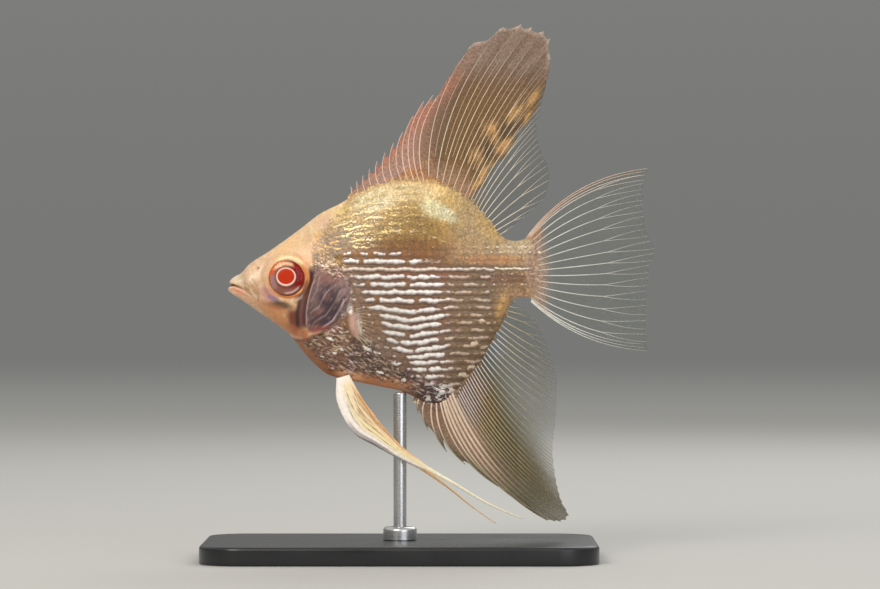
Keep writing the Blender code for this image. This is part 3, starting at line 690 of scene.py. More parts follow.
def membrane_material():
    """Fin membrane: a thin clear to tan film that lets light and what is behind show through."""
    mat, add = new_material("clear_fin_membrane")
    colour, speck = mottled(add, add("Attribute", attribute_name="marking"), 0.45, 0.68, 1.28)
    cover = add("Attribute", attribute_name="cover").outputs["Fac"]
    wander = add("MapRange", (speck, 0.3, 0.7, 0.82, 1.15))
    alpha = add("Math", (cover, wander), operation="MULTIPLY", use_clamp=True)
    satin = add("BsdfPrincipled", {"Base Color": colour, "Roughness": 0.32, "IOR": 1.38, "Alpha": alpha})
    glow = add("BsdfTranslucent", {"Color": colour})
    film = add("MixShader", (alpha, add("BsdfTransparent"), glow))
    add("OutputMaterial", {"Surface": add("MixShader", (0.3, satin, film))})
    return mat


def ray_material():
    """Fin rays: jointed horny rods, cream and slightly glossy.

    Real joints lie about 0.3 mm apart, too fine to show, so they are drawn 0.5 mm apart.
    """
    mat, add = new_material("horny_fin_rays")
    along, cover = (add("Attribute", attribute_name=word).outputs["Fac"] for word in ("along", "cover"))
    joints = add("Math", (along, math.tau / 0.5), operation="MULTIPLY")
    joints = add("Math", (joints,), operation="SINE")
    bump = add("Bump", {"Height": joints, "Strength": 0.3, "Distance": 0.03 * MM})
    colour, _ = mottled(add, add("Attribute", attribute_name="marking"), 1.2, 0.88, 1.1)
    shader = add("BsdfPrincipled", {
        "Base Color": colour, "Roughness": 0.34, "IOR": 1.5, "Normal": bump, "Alpha": cover})
    add("OutputMaterial", {"Surface": shader})
    return mat


def painted_material(name, size_mm, dark, light, finish):
    """Colours that are in the mesh, with a mottle and a finish: ribbed satin skin on the pelvic
    blades, paint under glass on iris and pupil."""
    mat, add = new_material(name)
    colour, _ = mottled(add, add("Attribute", attribute_name="marking"), size_mm, dark, light)
    add("OutputMaterial", {"Surface": add("BsdfPrincipled", {"Base Color": colour, **finish})})
    return mat


def cornea_material():
    """Clear glass cornea: see-through, with a sharp highlight at its rim and where it is lit."""
    mat, add = new_material("glass_cornea")
    gloss = add("BsdfGlossy", {"Roughness": 0.03})
    both = add("MixShader", (add("Fresnel", {"IOR": 1.26}), add("BsdfTransparent"), gloss))
    add("OutputMaterial", {"Surface": both})
    return mat


def steel_material():
    """Brushed stainless steel: grey metal with fine rings round the rod from the lathe.

    Real tool marks are about 0.05 mm apart, too fine to show, so they are drawn 0.2 mm apart.
    """
    mat, add = new_material("brushed_stainless_steel")
    where = add("TexCoord")
    stretch = add("Mapping", {
        "Vector": where.outputs["Object"], "Scale": (0.06 / MM, 0.06 / MM, 1 / (0.2 * MM))})
    lines = add("TexNoise", {"Vector": stretch, "Scale": 1, "Detail": 2})
    bump = add("Bump", {"Height": lines, "Strength": 0.15, "Distance": 0.02 * MM})
    shader = add("BsdfPrincipled", {
        "Base Color": rgba("#C4C5C6"), "Metallic": 1,
        "Roughness": add("MapRange", (lines, 0.3, 0.7, 0.2, 0.36)), "Normal": bump})
    add("OutputMaterial", {"Surface": shader})
    return mat


def lacquer_material():
    """Black lacquered board: deep satin black with a faint orange peel 1.4 mm wide and a haze."""
    mat, add = new_material("black_lacquered_board")
    where = add("TexCoord").outputs["Object"]
    peel = add("TexNoise", {"Vector": where, "Scale": 1 / (1.4 * MM), "Detail": 2})
    haze = add("TexNoise", {"Vector": where, "Scale": 1 / (14 * MM), "Detail": 5})
    bump = add("Bump", {"Height": peel, "Strength": 0.08, "Distance": 0.1 * MM})
    shader = add("BsdfPrincipled", {
        "Base Color": rgba("#1B1C1E"), "Roughness": add("MapRange", (haze, 0.3, 0.7, 0.22, 0.38)),
        "Normal": bump})
    add("OutputMaterial", {"Surface": shader})
    return mat


def floor_material(far_colour, strength):
    """Pale matt studio paper that fades to the backdrop's tone with distance from the object."""
    mat, add = new_material("pale_studio_paper")
    where = add("TexCoord")
    distance = add("VectorMath", (where.outputs["Object"],), operation="LENGTH")
    share = add("MapRange", (distance.outputs["Value"], 0.1, 3.2, 0, 1),
            interpolation_type="SMOOTHERSTEP")
    root = add("Math", (share, 0.5), operation="POWER")
    near = add("BsdfPrincipled", {"Base Color": rgba("#BDBCB8"), "Roughness": 0.85})
    far = add("Emission", {"Color": rgba(far_colour), "Strength": strength})
    add("OutputMaterial", {"Surface": add("MixShader", (root, near, far))})
    return mat


# ---------------- skin

def build_skin(settings):
    """One skin over head, jaw, gill covers, trunk and tail stem.

    A grid of stations along X and turns round each lens-shaped section, moved outwards by the
    relief of the head. Stations crowd together towards the snout, where the detail is: their
    shares of the length are 0.55*e + 0.45*e^2.2 for even steps e.
    """
    stations, sides = settings.skin_stations, settings.skin_sides
    first, last = NOSE_X + 0.12, TAIL_ROOT_X - 0.58
    even = np.linspace(0, 1, stations)
    x = first + (last - first) * (0.55 * even + 0.45 * even ** 2.2)
    turn = np.arange(sides) * math.tau / sides
    top, low = BACK(x)[:, None] - COAT, BELLY(x)[:, None] + COAT
    z = (top + low) / 2 + (top - low) / 2 * np.cos(turn)
    x = np.repeat(x[:, None], sides, 1)
    side = np.sign(np.sin(turn)) * (np.abs(np.sin(turn)) > 1e-6)
    y, _ = flank(x, z)
    off_seam = np.clip(np.abs(np.sin(turn)) * 4, 0, 1)   # no relief on the midline of back and belly
    y = np.maximum(y + (relief(x, z, y) - y) * off_seam - COAT, 0)
    notch = 0.9 * hill(z - LIP_Z, 0.32) * ease(-35, -36.6, x)
    # the last stations follow the rear edge of the tail stem
    rear = TAIL_END(np.interp(z, [51, 54.8, 62, 68.9, 73], [4, 3, 2, 1, 0]))[..., 0]
    bulge = (rear - TAIL_ROOT_X + 0.4) * ease(26, TAIL_ROOT_X, x)
    skin = add_mesh("skin", np.stack([x + notch + bulge, side * y, z], -1), tube_faces(stations, sides),
            skin_material(), replaces=("head", "lower_jaw", "gill_cover_left", "gill_cover_right", "trunk",
                      "tail_stem"))
    lay_out(skin, "OFBake", tube_corners(stations, sides))
    paint(skin, markings(x, z))


# ---------------- scales

TOP_SILVER_ROW, LATERAL_ROW = 65.2, 2      # height of the upper silver row; number of the lateral line's
STEM_TOP_ROW, STEM_LATERAL_ROW = 67.8, 5   # the same for the finer rows of the tail stem
BACK_ROWS, STEM_ROWS, CHEST_ROWS, SHEATH_ROWS = 0.82, 1.15, 1.2, 0.42   # row heights off the flank
PLATE = 0.035                              # thickness of a scale
CHEST_X, CHEST_Z = (-20, -12, -8, -3, 2.5, 6), (52, 51, 48.5, 43.5, 38, 30)   # upper edge of the chest
# Where each silver row begins, over its height, and the bright line along the upper flank.
SILVER_START = curve(
    (34, 12), (37.4, 8.4), (39.1, 3.4), (43.9, 1.3), (45.8, -1.9), (48.7, -3.8), (52, -4.4),
    (53.4, -6.6), (55.2, -7.6), (58.5, -9), (60.3, -9.8), (61.9, -12.2), (65.2, -11.8))
UPPER_LINE = curve(
    (-6, 69.2), (-1.9, 69.9), (2.1, 69.9), (4.9, 69.7), (6.6, 69), (8.6, 68.2), (11, 66.9))
CURLS = (
    # middle, radii, lean of the places away from the chest whose scales have strokes and loops
    ((6.2, 36), (4.4, 2.5), -14), ((-14.8, 61.9), (4.6, 2.1), -12), ((-16.4, 66.6), (2.4, 3.4), 0))


def flank_row(level, x):
    """Height of a silver row: level, but with a dip at x = 2 on the rows of the lower flank."""
    bent = ease(56.5, 53, level) * ease(39.5, 46, level)
    return level + bent * (0.14 * np.clip(x - 2.2, 0, 8.5) - 0.17 * np.clip(x + 4.3, 0, 6.5))


def back_row(level, x):
    """Height of a row above the silver ones, bowed more like the back the higher it lies, wavy."""
    wave = 0.16 * np.sin(1.3 * x + 2.1 * level) + 0.1 * np.sin(2.9 * x - 1.7 * level)
    return level + 0.62 * ease(63, 80, level) * (BACK(x) - BACK(0)) + wave


def stem_row(level, x):
    """Height of a tail stem row: level."""
    return level + 0 * x


def chest_row(level, x):
    """Height of a chest row, which runs down towards the tail."""
    return level - 0.55 * (x + 8)


def row_wave(x, row, seed, size):
    """Smooth curve between about -1 and 1 along each row, different from row to row."""
    phase = np.random.default_rng(seed).uniform(0, math.tau, (64, 3))[row]
    total = 0
    for part, (pace, weight) in enumerate(((1, 0.55), (1.83, 0.3), (3.1, 0.15))):
        total = total + weight * np.sin(x * math.tau * pace / size + phase[..., part])
    return total * 1.25


def scale_sites(top, count, spacing, pitch, line, jitter, seed, keep):
    """Roots of the scales on staggered rows from height top down, where keep(x, z) allows them.

    Gives columns x, z, lean, row number and row level.
    """
    rng = np.random.default_rng(seed)
    found = []
    for row in range(count):
        x = np.arange(-24, 30, pitch) + (row % 2) * pitch / 2
        x = x + rng.uniform(-jitter, jitter, len(x)) * pitch
        level = np.full(len(x), top - row * spacing)
        z = line(level, x) + rng.uniform(-jitter, jitter, len(x)) * spacing * 0.6
        lean = np.arctan(line(level, x + 0.5) - line(level, x - 0.5))
        found.append(np.column_stack([x, z, lean, np.full(len(x), row), level])[keep(x, z)])
    return np.vstack(found)


def glint_share(x, z):
    """1 on the single bright scales and 0 beside them."""
    return np.max([spot(x, z, middle, radii, lean, 0.4) for middle, radii, lean in GLINTS], axis=0)


def silver_band(x, z, row, level, seed):
    """Offset, half width and brightness of the silver along the flank rows.

    Each row's band starts at SILVER_START and ends near x = 9, broken now and then; behind it there
    are thin dashes, and the row of the lateral line runs on to the tail. The top row is thin, and
    the next one fades early.
    """
    start = SILVER_START(level)
    end = 9.3 + 1.6 * row_wave(np.zeros_like(x), row, seed + 1, 9)
    inside = np.minimum(x - start, end - x)
    gap = ease(-0.94, -0.74, row_wave(x, row, seed + 2, 8.5))
    share = ease(-0.7, 0.8, inside) * (0.25 + 0.75 * gap)
    half = 0.265 + 0.03 * ease(57, 52, z) + 0.065 * row_wave(x, row, seed + 4, 3.6)
    half = half * (0.4 + 0.6 * ease(-0.3, 2, inside)) * (0.6 + 0.4 * gap)
    first = 0.8 * ease(-0.6, 0.2, row_wave(x, row, seed + 6, 3.4)) * ease(4, 0, x)
    share = np.where(row == 0, first * ease(-12.8, -11.4, x), share)
    half = np.where(row == 0, 0.17, half)
    share = np.where(row == 1, share * (1 - 0.6 * ease(3, 5, x)), share)
    dashes = ease(-0.35, 0.45, row_wave(x, row, seed + 3, 7) + 0.4 * row_wave(x, row, seed + 8, 1.7))
    behind = ease(-1.5, 0.8, x - end) * ease(19.9, 18.9, x - 0.2 * np.clip(56 - z, 0, 5)) * (row > 1)
    share = np.maximum(share, behind * (0.36 + 0.4 * dashes))
    ahead = ease(0.4, -0.8, x - start) * ease(0, 0.8, row_wave(x, row, seed + 9, 2.6))
    share = np.maximum(share, 0.85 * ahead * (row > 1))
    half = np.where((x < start - 0.4) & (row > 1), 0.15, half)
    half = np.where((x > end) & (row > 0), 0.14 + 0.04 * dashes, half)
    line = ease(-13, -11.5, x) * (1 - 0.25 * ease(10, 20, x))
    share = np.where(row == LATERAL_ROW, line, share)
    half = np.where(row == LATERAL_ROW, 0.2 - 0.05 * ease(7, 10, x), half)
    glint = glint_share(x, z)
    return 0.075 * row_wave(x, row, seed + 5, 5.2), np.maximum(half, glint), np.maximum(share, glint)


def above_flank(x, z):
    """1 on the gold field above the silver rows and behind the nape."""
    return ease(-16.5, -13, x + 0.3 * (z - 66)) * ease(64.2, 66, z)


def gold_band(x, z, row, level, seed):
    """Offset, half width and brightness of the pale flecks on the back and its long wavy ridges.

    The ridges take up two rows each, so across is measured from every second row.
    """
    ridge = (z - back_row(level + BACK_ROWS * (row % 2), x)) / (2 * BACK_ROWS)
    offset = (z - back_row(level, x)) / BACK_ROWS - (ridge - np.round(ridge))
    near = np.clip(row - row % 2 - 2 * np.round(ridge).astype(int), 0, 63)
    field = ease(9, 4, x) * ease(0.6, 2, BACK(x) - z) * above_flank(x, z)
    field = field * (1 - 0.6 * spot(x, z, (2.5, 66.8), (8, 2.4), 0))
    share = 0.5 * ease(-0.1, 0.8, ripple(x, z, seed + 3, 0.9)) * ease(-18, -14, x + 0.4 * (z - 66))
    ridges = field * (0.6 - 0.14 * ease(-5, 4, x)) * ease(-0.95, -0.2, row_wave(x, near, seed + 2, 9))
    share = np.maximum(share * (1 - 0.35 * field), ridges)
    line = hill(z - UPPER_LINE(x), 0.34) * ease(-7, -5, x) * ease(11.5, 9.5, x)
    line = line * ease(-0.5, 0.1, row_wave(x, row * 0, seed + 9, 2.4))
    half = np.where(line > 0.3, 0.7, 0.26 - 0.07 * field)
    return offset, half, np.maximum(share, 0.6 * line)


def stem_band(x, z, row, level, seed):
    """Offset, half width and brightness of the pearly dots on the tail stem and its lateral line."""
    dots = ease(0.1, 0.7, row_wave(x, row, seed + 3, 2.1)) * ease(17, 20, x)
    share = 0.8 * dots * ((row == 1) | (row == 2)) + 0.55 * dots * ((row == 6) | (row == 8))
    share = np.maximum(share, 0.42 * ease(-0.2, 0.8, row_wave(x, row, seed + 4, 2.2)))
    share = np.where(row == STEM_LATERAL_ROW, 0.75 * ease(29.4, 27, x), share)
    return 0.08 * row_wave(x, row, seed + 5, 4), 0.2 + 0.05 * row_wave(x, row, seed + 6, 3), share


def sheath_band(x, z, row, level, seed):
    """Offset, half width and brightness of the flecks that climb from the body onto a fin."""
    share = 0.55 * ease(0.1, 0.8, ripple(x, z, seed, 0.8)) * ease(8, 13, x + 30 * (z > 60))
    return 0 * x, 0.35 + 0 * x, share


def chest_band(x, z, row, level, seed):
    """Offset, half width and brightness of the chest's single glints and dull edges."""
    glint = glint_share(x, z)
    dull = 0.4 * ease(0, 0.7, row_wave(x, row, seed + 2, 2.6))
    return 0.2 * row_wave(x, row, seed + 5, 2.2), np.maximum(0.16, glint * 0.5), np.maximum(dull, glint)


def sheath_point(x, z, side, lift=0):
    """The skin inside the body's edge and the film of a midline fin outside it, raised by lift."""
    top, low = BACK(x) - COAT, BELLY(x) + COAT
    y, _ = flank(x, np.clip(z, low, top))
    y = np.where((z < top) & (z > low), y - COAT, 0)
    return np.stack([x, side * (np.maximum(y, 0.16) + lift), z], axis=-1)


def sheath_sites(edge, way, first, last, reach, seed):
    """Roots of the small scales along the body's edge, on rows that thin out at random up to reach.

    way is 1 for rows that climb from the back and -1 for rows that go down from the belly.
    """
    rng = np.random.default_rng(seed)
    found = []
    for row in range(-1, 12):
        x = np.arange(first, last, 0.5) + (row % 2) * 0.25
        x = x + rng.uniform(-0.16, 0.16, len(x))
        z = edge(x) + way * (SHEATH_ROWS * row + rng.uniform(-0.12, 0.12, len(x)))
        lean = np.arctan(edge(x + 0.5) - edge(x - 0.5)) + way * math.radians(14)
        keep = rng.uniform(0, 1, len(x)) < ease(reach(x) + 0.9, reach(x) - 0.9, row * SHEATH_ROWS)
        found.append(np.column_stack([x, z, lean, np.full(len(x), row + 1), edge(x)])[keep])
    return np.vstack(found)


def silver_tone(x, z, share, row, spacing, tint, seed):
    """Colour of the silver: cream and pink clouds over the tint, gold temple, tan rear and anal base."""
    broad = spacing > STEM_ROWS
    pink = 0.7 if spacing > 1 else 0.15
    tan = ease(9.5, 12, x) * ease(20, 18.5, x) * (row != LATERAL_ROW) * ease(63, 61, z)
    return layered(
        tint, x,
        ("#FBE6C2", 0.7 * ease(0.1, 0.8, ripple(x, z, seed, 6))),
        ("#F2DCEC", pink * ease(0.1, 0.8, ripple(x, z, seed + 7, 5))),
        ("#FFFBF6", ease(0.75, 0.95, share) * broad),
        ("#F2D6B8", 0.5 * (row == LATERAL_ROW) * broad),
        ("#CC9024", 0.95 * spot(x, z, (-16, 66.6), (4.2, 4.9))),
        ("#FBE2C8", 0.85 * spot(x, z, (-14.6, 61.8), (5, 2), -14)),
        ("#B89C90", 0.7 * spot(x, z, (4.4, 36.4), (2.8, 2.4), -12)),
        ("#D2B48E", 0.8 * tan))


def build_scales(name, side, sites, spacing, length, height, rise, arch, band, line, tint, seed, mat,
        uneven, pocket, cells=5, slot="flank_scales", surface=skin_point):
    """Scales of one flank as one mesh of thin closed plates.

    Each is a grid of s along it and a across it: it starts under the scale in front, ends in a
    round free edge, and is arched across, so its height is rise*s + arch*(1 - a^2).
    """
    x0, z0, lean, row, level = sites.T
    rng = np.random.default_rng(seed)
    count, per = len(sites), cells * cells
    each = (count, 1, 1)
    s, a = np.meshgrid(np.linspace(0, 1, cells), np.linspace(-1, 1, cells), indexing="ij")
    along = length * (s * (1 - 0.26 * a * a) - 0.5) * rng.uniform(0.94, 1.08, each)
    wide = height / 2 * a * (0.8 + 0.2 * np.sin(math.pi * s * 0.75))
    tilt = (lean + rng.normal(0, 0.04, count)).reshape(each)
    x = x0.reshape(each) + along * np.cos(tilt) - wide * np.sin(tilt)
    z = z0.reshape(each) + along * np.sin(tilt) + wide * np.cos(tilt)
    if surface is skin_point:
        z = np.clip(z, BELLY(x) + COAT + 0.15, BACK(x) - COAT - 0.15)
    settled = 1 - 0.7 * head_share(x0 - 1.2, z0).reshape(each)
    lift = rise * (s - 0.15) + arch * (1 - a * a) * ease(0, 0.5, s) - 0.05 * ease(0.3, 0, s)
    lift = lift * rng.uniform(0.94, 1.08, each) * settled

    def both(values):
        """Values of the outer grid given to its inner copy too."""
        flat = values.reshape(count, per, -1)
        return np.concatenate([flat, flat], 1)

    points = np.concatenate([surface(x, z, side, raised).reshape(count, per, 3)
            for raised in (lift, lift - PLATE)], 1)
    one = film_faces(cells, cells)
    if side == RIGHT:
        one = one[:, ::-1]
    faces = (one[None] + 2 * per * np.arange(count).reshape(each)).reshape(-1, 4)
    piece = add_mesh(name, points, faces.tolist(), mat, sharp=50)

    # ScaleUV runs over each scale; OFBake gives each scale a small patch of its own
    corner = faces.ravel()
    local = np.stack([np.tile(s.ravel(), 2 * count), np.tile((a.ravel() + 1) / 2, 2 * count)], -1)[corner]
    lay_out(piece, "ScaleUV", local)
    top, low = BACK(x0), BELLY(x0)
    turn = np.arccos(np.clip((z0 - (top + low) / 2) / ((top - low) / 2), -1, 1)) / math.tau
    root = np.stack([(x0 - NOSE_X) / (TAIL_ROOT_X - NOSE_X), turn if side == RIGHT else 1 - turn], -1)
    lay_out(piece, "OFBake", root[corner // (2 * per)] + (local - 0.5) * 0.003)

    row, level = row.astype(int).reshape(each) + 0 * x.astype(int), level.reshape(each) + 0 * x
    offset, half, share = band(x, z, row, level, seed)
    paint(piece, both(markings(x, z) * rng.uniform(1 - uneven, 1 + uneven, (count, 1, 1, 1))))
    curl = 0.85 * ease(6.5, 3, x) * ease(1.2, -1.2, z - np.interp(x, CHEST_X, CHEST_Z))
    for middle, radii, angle in CURLS:
        curl = np.maximum(curl, 0.8 * spot(x, z, middle, radii, angle, 0.5))
    weigh(piece, "curl", both(curl))
    weigh(piece, "pocket", both(pocket(x, z) * settled + 0 * x))
    weigh(piece, "across", both((z - line(level, x)) / spacing - offset + rng.normal(0, 0.03, each)))
    weigh(piece, "half", both(half))
    weigh(piece, "shine", both(share * rng.uniform(0.86, 1.04, each)))
    paint(piece, both(silver_tone(x, z, share, row, spacing, tint, seed)), "silver")


def build_all_scales(settings):
    """Flank rows, the finer scales of the back and temple, the chest's, and those over the fin roots."""
    spacing, pitch = settings.row_spacing / MM, settings.scale_pitch / MM

    def scaled(x, z):
        """Whether there are scales: not on the head, the keel, the fins' bare bases or the tail's end."""
        _, t = flank(x, z)
        border = head_share(x + 0.9 * ripple(x, z, 77, 2.6), z)
        base = spot(x, z, (-9.8, 50), (1.5, 3.1), 14) > 0.5
        keel = (z < BELLY(x) + 1.7 + 0.9 * ease(-14, -17.5, x) + 0.4 * ripple(x, z, 76, 2)) & (x < 1.5)
        bare = spot(x, z, (22.3, 53.9), (1.1, 3), -24, 0.2) + 0.15 * ripple(x, z, 78, 1.6) > 0.5
        tail = x > 28.9 + 0.8 * ripple(x * 0, z, 80, 2) - 1.6 * ease(0.5, 1, np.abs(t))
        return (np.abs(t) < 0.98) & (border < 0.5) & ~base & ~keel & ~bare & ~tail

    def on_stem(x, z):
        """Whether the scales are the tail stem's, which reach forward above the silver rows."""
        ragged = x + 1.2 * ripple(x, z, 79, 3)
        high = (ragged > 10) & (z > 62.9) & (z < 66.9 + 0.3 * np.clip(x - 17, 0, 4))
        return high | (ragged > 18.4) & (z > 56) & (z < 68.2)

    def on_back(x, z):
        """Whether the scales are the finer ones above the silver rows or on the temple."""
        return (z > flank_row(TOP_SILVER_ROW + spacing / 2, x)) | (x < -12.6) & (z > 58)

    def on_chest(x, z):
        """Whether the scales are the chest's."""
        return (z < np.interp(x, CHEST_X, CHEST_Z)) & (x < 6)

    silver = scale_material("guanine_backed_scales", 0.42, 0.7, 1.24, (0.45, 1, 1.5), "#B08C7C")
    gold = scale_material("golden_back_scales", 0.46, 0.62, 1.32, (0.8, 1, 1.1), "#9E7A3C")
    main = scale_sites(TOP_SILVER_ROW, 24, spacing, pitch, flank_row, 0.05, 1, lambda x, z: (
        scaled(x, z) & ~on_back(x, z) & ~on_chest(x, z) & ~on_stem(x, z)))
    fine = scale_sites(93, 48, BACK_ROWS, 0.7, back_row, 0.28, 2, lambda x, z: (
        scaled(x, z) & on_back(x, z) & ~on_stem(x, z)))
    rear = scale_sites(STEM_TOP_ROW, 12, STEM_ROWS, 0.92, stem_row, 0.16, 5, lambda x, z: (
        scaled(x, z) & on_stem(x, z)))
    rough = scale_sites(66, 34, CHEST_ROWS, 1.05, chest_row, 0.25, 3, lambda x, z: (
        scaled(x, z) & on_chest(x, z)))
    sheaths = (
        ("dorsal", sheath_sites(BACK, 1, -11, 21, lambda x: 0.1 + 1.9 * hill(x - 3.5, 4.2), 61)),
        ("anal", sheath_sites(BELLY, -1, 3.4, 22.6, lambda x: 0.1 + 0.9 * hill(x - 9.5, 4), 62)))
    # name, sites, spacing, length, height, rise, arch, band, line, tint, seed, material, then the rest
    kinds = (
        ("flank_scales", main, spacing, pitch * 1.95, spacing * 1.22, 0.06, 0.12, silver_band, flank_row,
         "#FFFBF6", 40, silver, {"uneven": 0.07, "pocket": lambda x, z: 0.45 + 0.3 * ease(8, 12, x)}),
        ("back_scales", fine, BACK_ROWS, 1.2, 1.05, 0.06, 0.02, gold_band, back_row, "#F0D384", 41, gold,
         {"uneven": 0.18, "cells": 4,
          "pocket": lambda x, z: 0.1 + 0.7 * ease(10, 3, x) * above_flank(x, z)}),
        ("stem_scales", rear, STEM_ROWS, 1.55, 1.4, 0.05, 0.03, stem_band, stem_row, "#FBEFDC", 44, gold,
         {"uneven": 0.12, "pocket": lambda x, z: 0.3, "slot": "stem_scales"}),
        ("chest_scales", rough, CHEST_ROWS, 1.8, 1.5, 0.07, 0.05, chest_band, chest_row, "#CDB499", 42,
         silver, {"uneven": 0.16, "pocket": lambda x, z: 0.3}),
        *((f"{place}_root_scales", sites, SHEATH_ROWS, 0.75, 0.55, 0.03, 0.01, sheath_band,
           lambda level, x: level, "#F6E4BE", 43, gold,
           {"uneven": 0.25, "pocket": lambda x, z: 0, "cells": 4, "slot": "stem_scales",
            "surface": sheath_point}) for place, sites in sheaths))
    for side, word in SIDE_NAMES.items():
        for name, *sizes, seed, mat, others in kinds:
            build_scales(f"{name}_{word}", side, *sizes, seed + 20 * side, mat, **others)


# ---------------- eyes

EYE_SIDES = 96      # points round each ring of the eye
PUPIL_EDGE = 1.76   # radius of the pupil; a pale ring lies round it


def iris_tone(r, u, v):
    """Colour of iris and pupil at radius r, u behind and v above the eye's middle."""
    return layered(
        "#96604E", r,
        ("#AA8484", 0.8 * spot(u, v, (-2.9, -0.6), (0.9, 2), 10)),
        ("#8C0A00", ease(0.2, 1.2, u) * ease(-2.8, -1.4, v)),
        ("#D8602C", ease(2.3, 3.2, r) * ease(0, 1.2, v) * ease(0.4, -0.8, u)),
        ("#FFD6AC", 0.95 * hill(r - 3.05, 0.38) * ease(1.4, 2.4, v) * ease(1.9, 0.9, u)),
        ("#6A3030", 0.6 * hill(r - 2.36, 0.17) * ease(2.4, 1, v)),
        ("#F2D4CE", 0.9 * hill(r - 3.2, 0.16) * ease(-1.4, -2.4, v) * ease(-0.8, 0.2, u)),
        ("#A0522E", 0.6 * ease(3.5, 3.76, r) * ease(1.5, -0.5, v)),
        ("#FFDCCC", ease(PUPIL_EDGE - 0.02, PUPIL_EDGE + 0.04, r) * ease(2.16, 2.06, r)),
        ("#C83612", ease(PUPIL_EDGE, PUPIL_EDGE - 0.06, r)))


def build_eye(side, iris_mat, cornea_mat):
    """Iris disc with its pupil, and the glass cornea over it, as surfaces turned round the eye's
    axis: rings of radius r, with the depth a function of r."""
    word = SIDE_NAMES[side]
    turn = np.arange(EYE_SIDES) * math.tau / EYE_SIDES
    r = np.array([0.02, 0.5, 1, 1.4, 1.6, 1.7, 1.76, 1.84, 1.95, 2.1, 2.2, 2.3, 2.4, 2.6, 2.8, 3,
            3.2, 3.4, 3.55, 3.65, 3.72, 3.78, 3.82])
    # a dome 0.36 mm high with a raised ring round the sunken edge of the pupil
    bulge = RIM_PLANE + 0.36 * (1 - (r / 3.8) ** 2) + 0.1 * hill(r - 2, 0.22)
    bulge = bulge - 0.12 * hill(r - 1.72, 0.07) - 0.3 * ease(3.7, 3.84, r)
    rr, tt = np.meshgrid(r, turn, indexing="ij")
    # the pupil sits a little high and is slightly flattened
    squash, shift = 1 - 0.1 * ease(3, 1.6, rr), ease(3.2, 1.8, rr)
    x = EYE_X + rr * np.cos(tt) - 0.1 * shift
    z = EYE_Z + rr * np.sin(tt) * squash + 0.32 * shift
    front = np.stack([x, side * np.repeat(bulge[:, None], EYE_SIDES, 1), z], -1)
    back = np.stack([EYE_X + 3.3 * np.cos(turn), np.full(EYE_SIDES, side * (RIM_PLANE - 1.6)),
            EYE_Z + 3.3 * np.sin(turn)], -1)
    eye = add_mesh(f"eyeball_{word}", np.concatenate([front, back[None]]),
            tube_faces(len(r) + 1, EYE_SIDES, flip=side == RIGHT), iris_mat,
            replaces=(f"eye_{word}",))
    tone = iris_tone(rr, rr * np.cos(tt), rr * np.sin(tt))
    paint(eye, np.concatenate([tone, tone[-1:]]))

    rings = 22
    r = np.sin(np.linspace(0.008, 1, rings) * math.pi / 2) * 3.74
    rr, tt = np.meshgrid(r, turn, indexing="ij")
    dome = RIM_PLANE + 0.02 + (EYE_OUTER - 0.1 - RIM_PLANE) * np.sqrt(np.maximum(1 - (rr / 3.9) ** 2, 0))
    shell = np.stack([EYE_X + rr * np.cos(tt), side * dome, EYE_Z + rr * np.sin(tt)], -1)
    hidden = shell[-1:].copy()
    hidden[..., 1] = side * (RIM_PLANE - 0.35)
    add_mesh(f"cornea_{word}", np.concatenate([shell, hidden]),
            tube_faces(rings + 1, EYE_SIDES, flip=side == RIGHT), cornea_mat)


# ---------------- fins on the midline

# Each midline fin is a fan of numbered rays: x of the roots on the body's edge, (x, z) of the tips,
# depth of the notch between two tips, and how far the rays bow, all over the ray's number.
DORSAL_RAYS, ANAL_RAYS, TAIL_RAYS = 36, 31, 15
DORSAL_SPINES, ANAL_SPINES = 11, 5
DORSAL_ROOT_X = curve((0, -10.7), (11, 5.6), (20, 11.6), (36, 21.2))
DORSAL_TIPS = curve(
    (0, -10.5, 79.6), (2, -7.9, 81.9), (4, -4.9, 85), (7, 0.6, 91.2), (9, 5.1, 97.8),
    (11, 9.6, 100.7), (12, 15.8, 110.3), (13, 19, 111.3), (14, 22, 113.7), (16, 25.9, 114.3),
    (18, 28.2, 113.7), (20, 30.8, 112.8), (22, 32.2, 111.2), (24, 32.2, 107), (27, 30.4, 97.6),
    (29, 29.2, 91.7), (31, 30.2, 87.2), (33, 32, 82), (34, 31.2, 77.8), (35, 27.8, 74.2),
    (36, 23.2, 70.3))
DORSAL_NOTCH = curve(
    (0, 1.2), (3, 1.8), (6, 2.3), (8, 3.2), (9, 2.4), (10.8, 2.2), (11, 0), (13, 0.6), (15, 1),
    (22, 1), (24, 0.4), (28, 0.15), (36, 0.1))
DORSAL_BOW = curve((0, 0), (6, 1.2), (12, 3.2), (20, 2), (36, 0))
ANAL_ROOT_X = curve((0, 2.4), (5, 9), (14, 14), (31, 23.7))
ANAL_TIPS = curve(
    (0, 2.8, 33.5), (1, 3.9, 31), (2, 6, 27.6), (3, 10, 22.9), (4, 14, 20.2),
    (5, 21, 15.5), (6, 26.5, 12.4), (7, 31.4, 8.2), (9, 34.4, 7.9), (11, 36.1, 9.3),
    (13, 34.6, 12.3), (16, 33.4, 16.9), (19, 32.7, 23.3), (22, 33.4, 31), (25, 33.6, 38),
    (27, 32.6, 42.6), (28, 31.2, 46.4), (29, 29.2, 50.6), (31, 24.9, 54.9))
ANAL_NOTCH = curve(
    (0, 1.6), (1, 3.2), (2, 5.2), (3, 4.2), (4, 7), (4.9, 7), (5, 1.7), (5.6, 1.5), (6, 0.2),
    (8, 0.6), (14, 0.3), (31, 0.1))
ANAL_BOW = curve((0, 0), (3, -1.4), (7, -3.4), (14, -2), (31, 0))
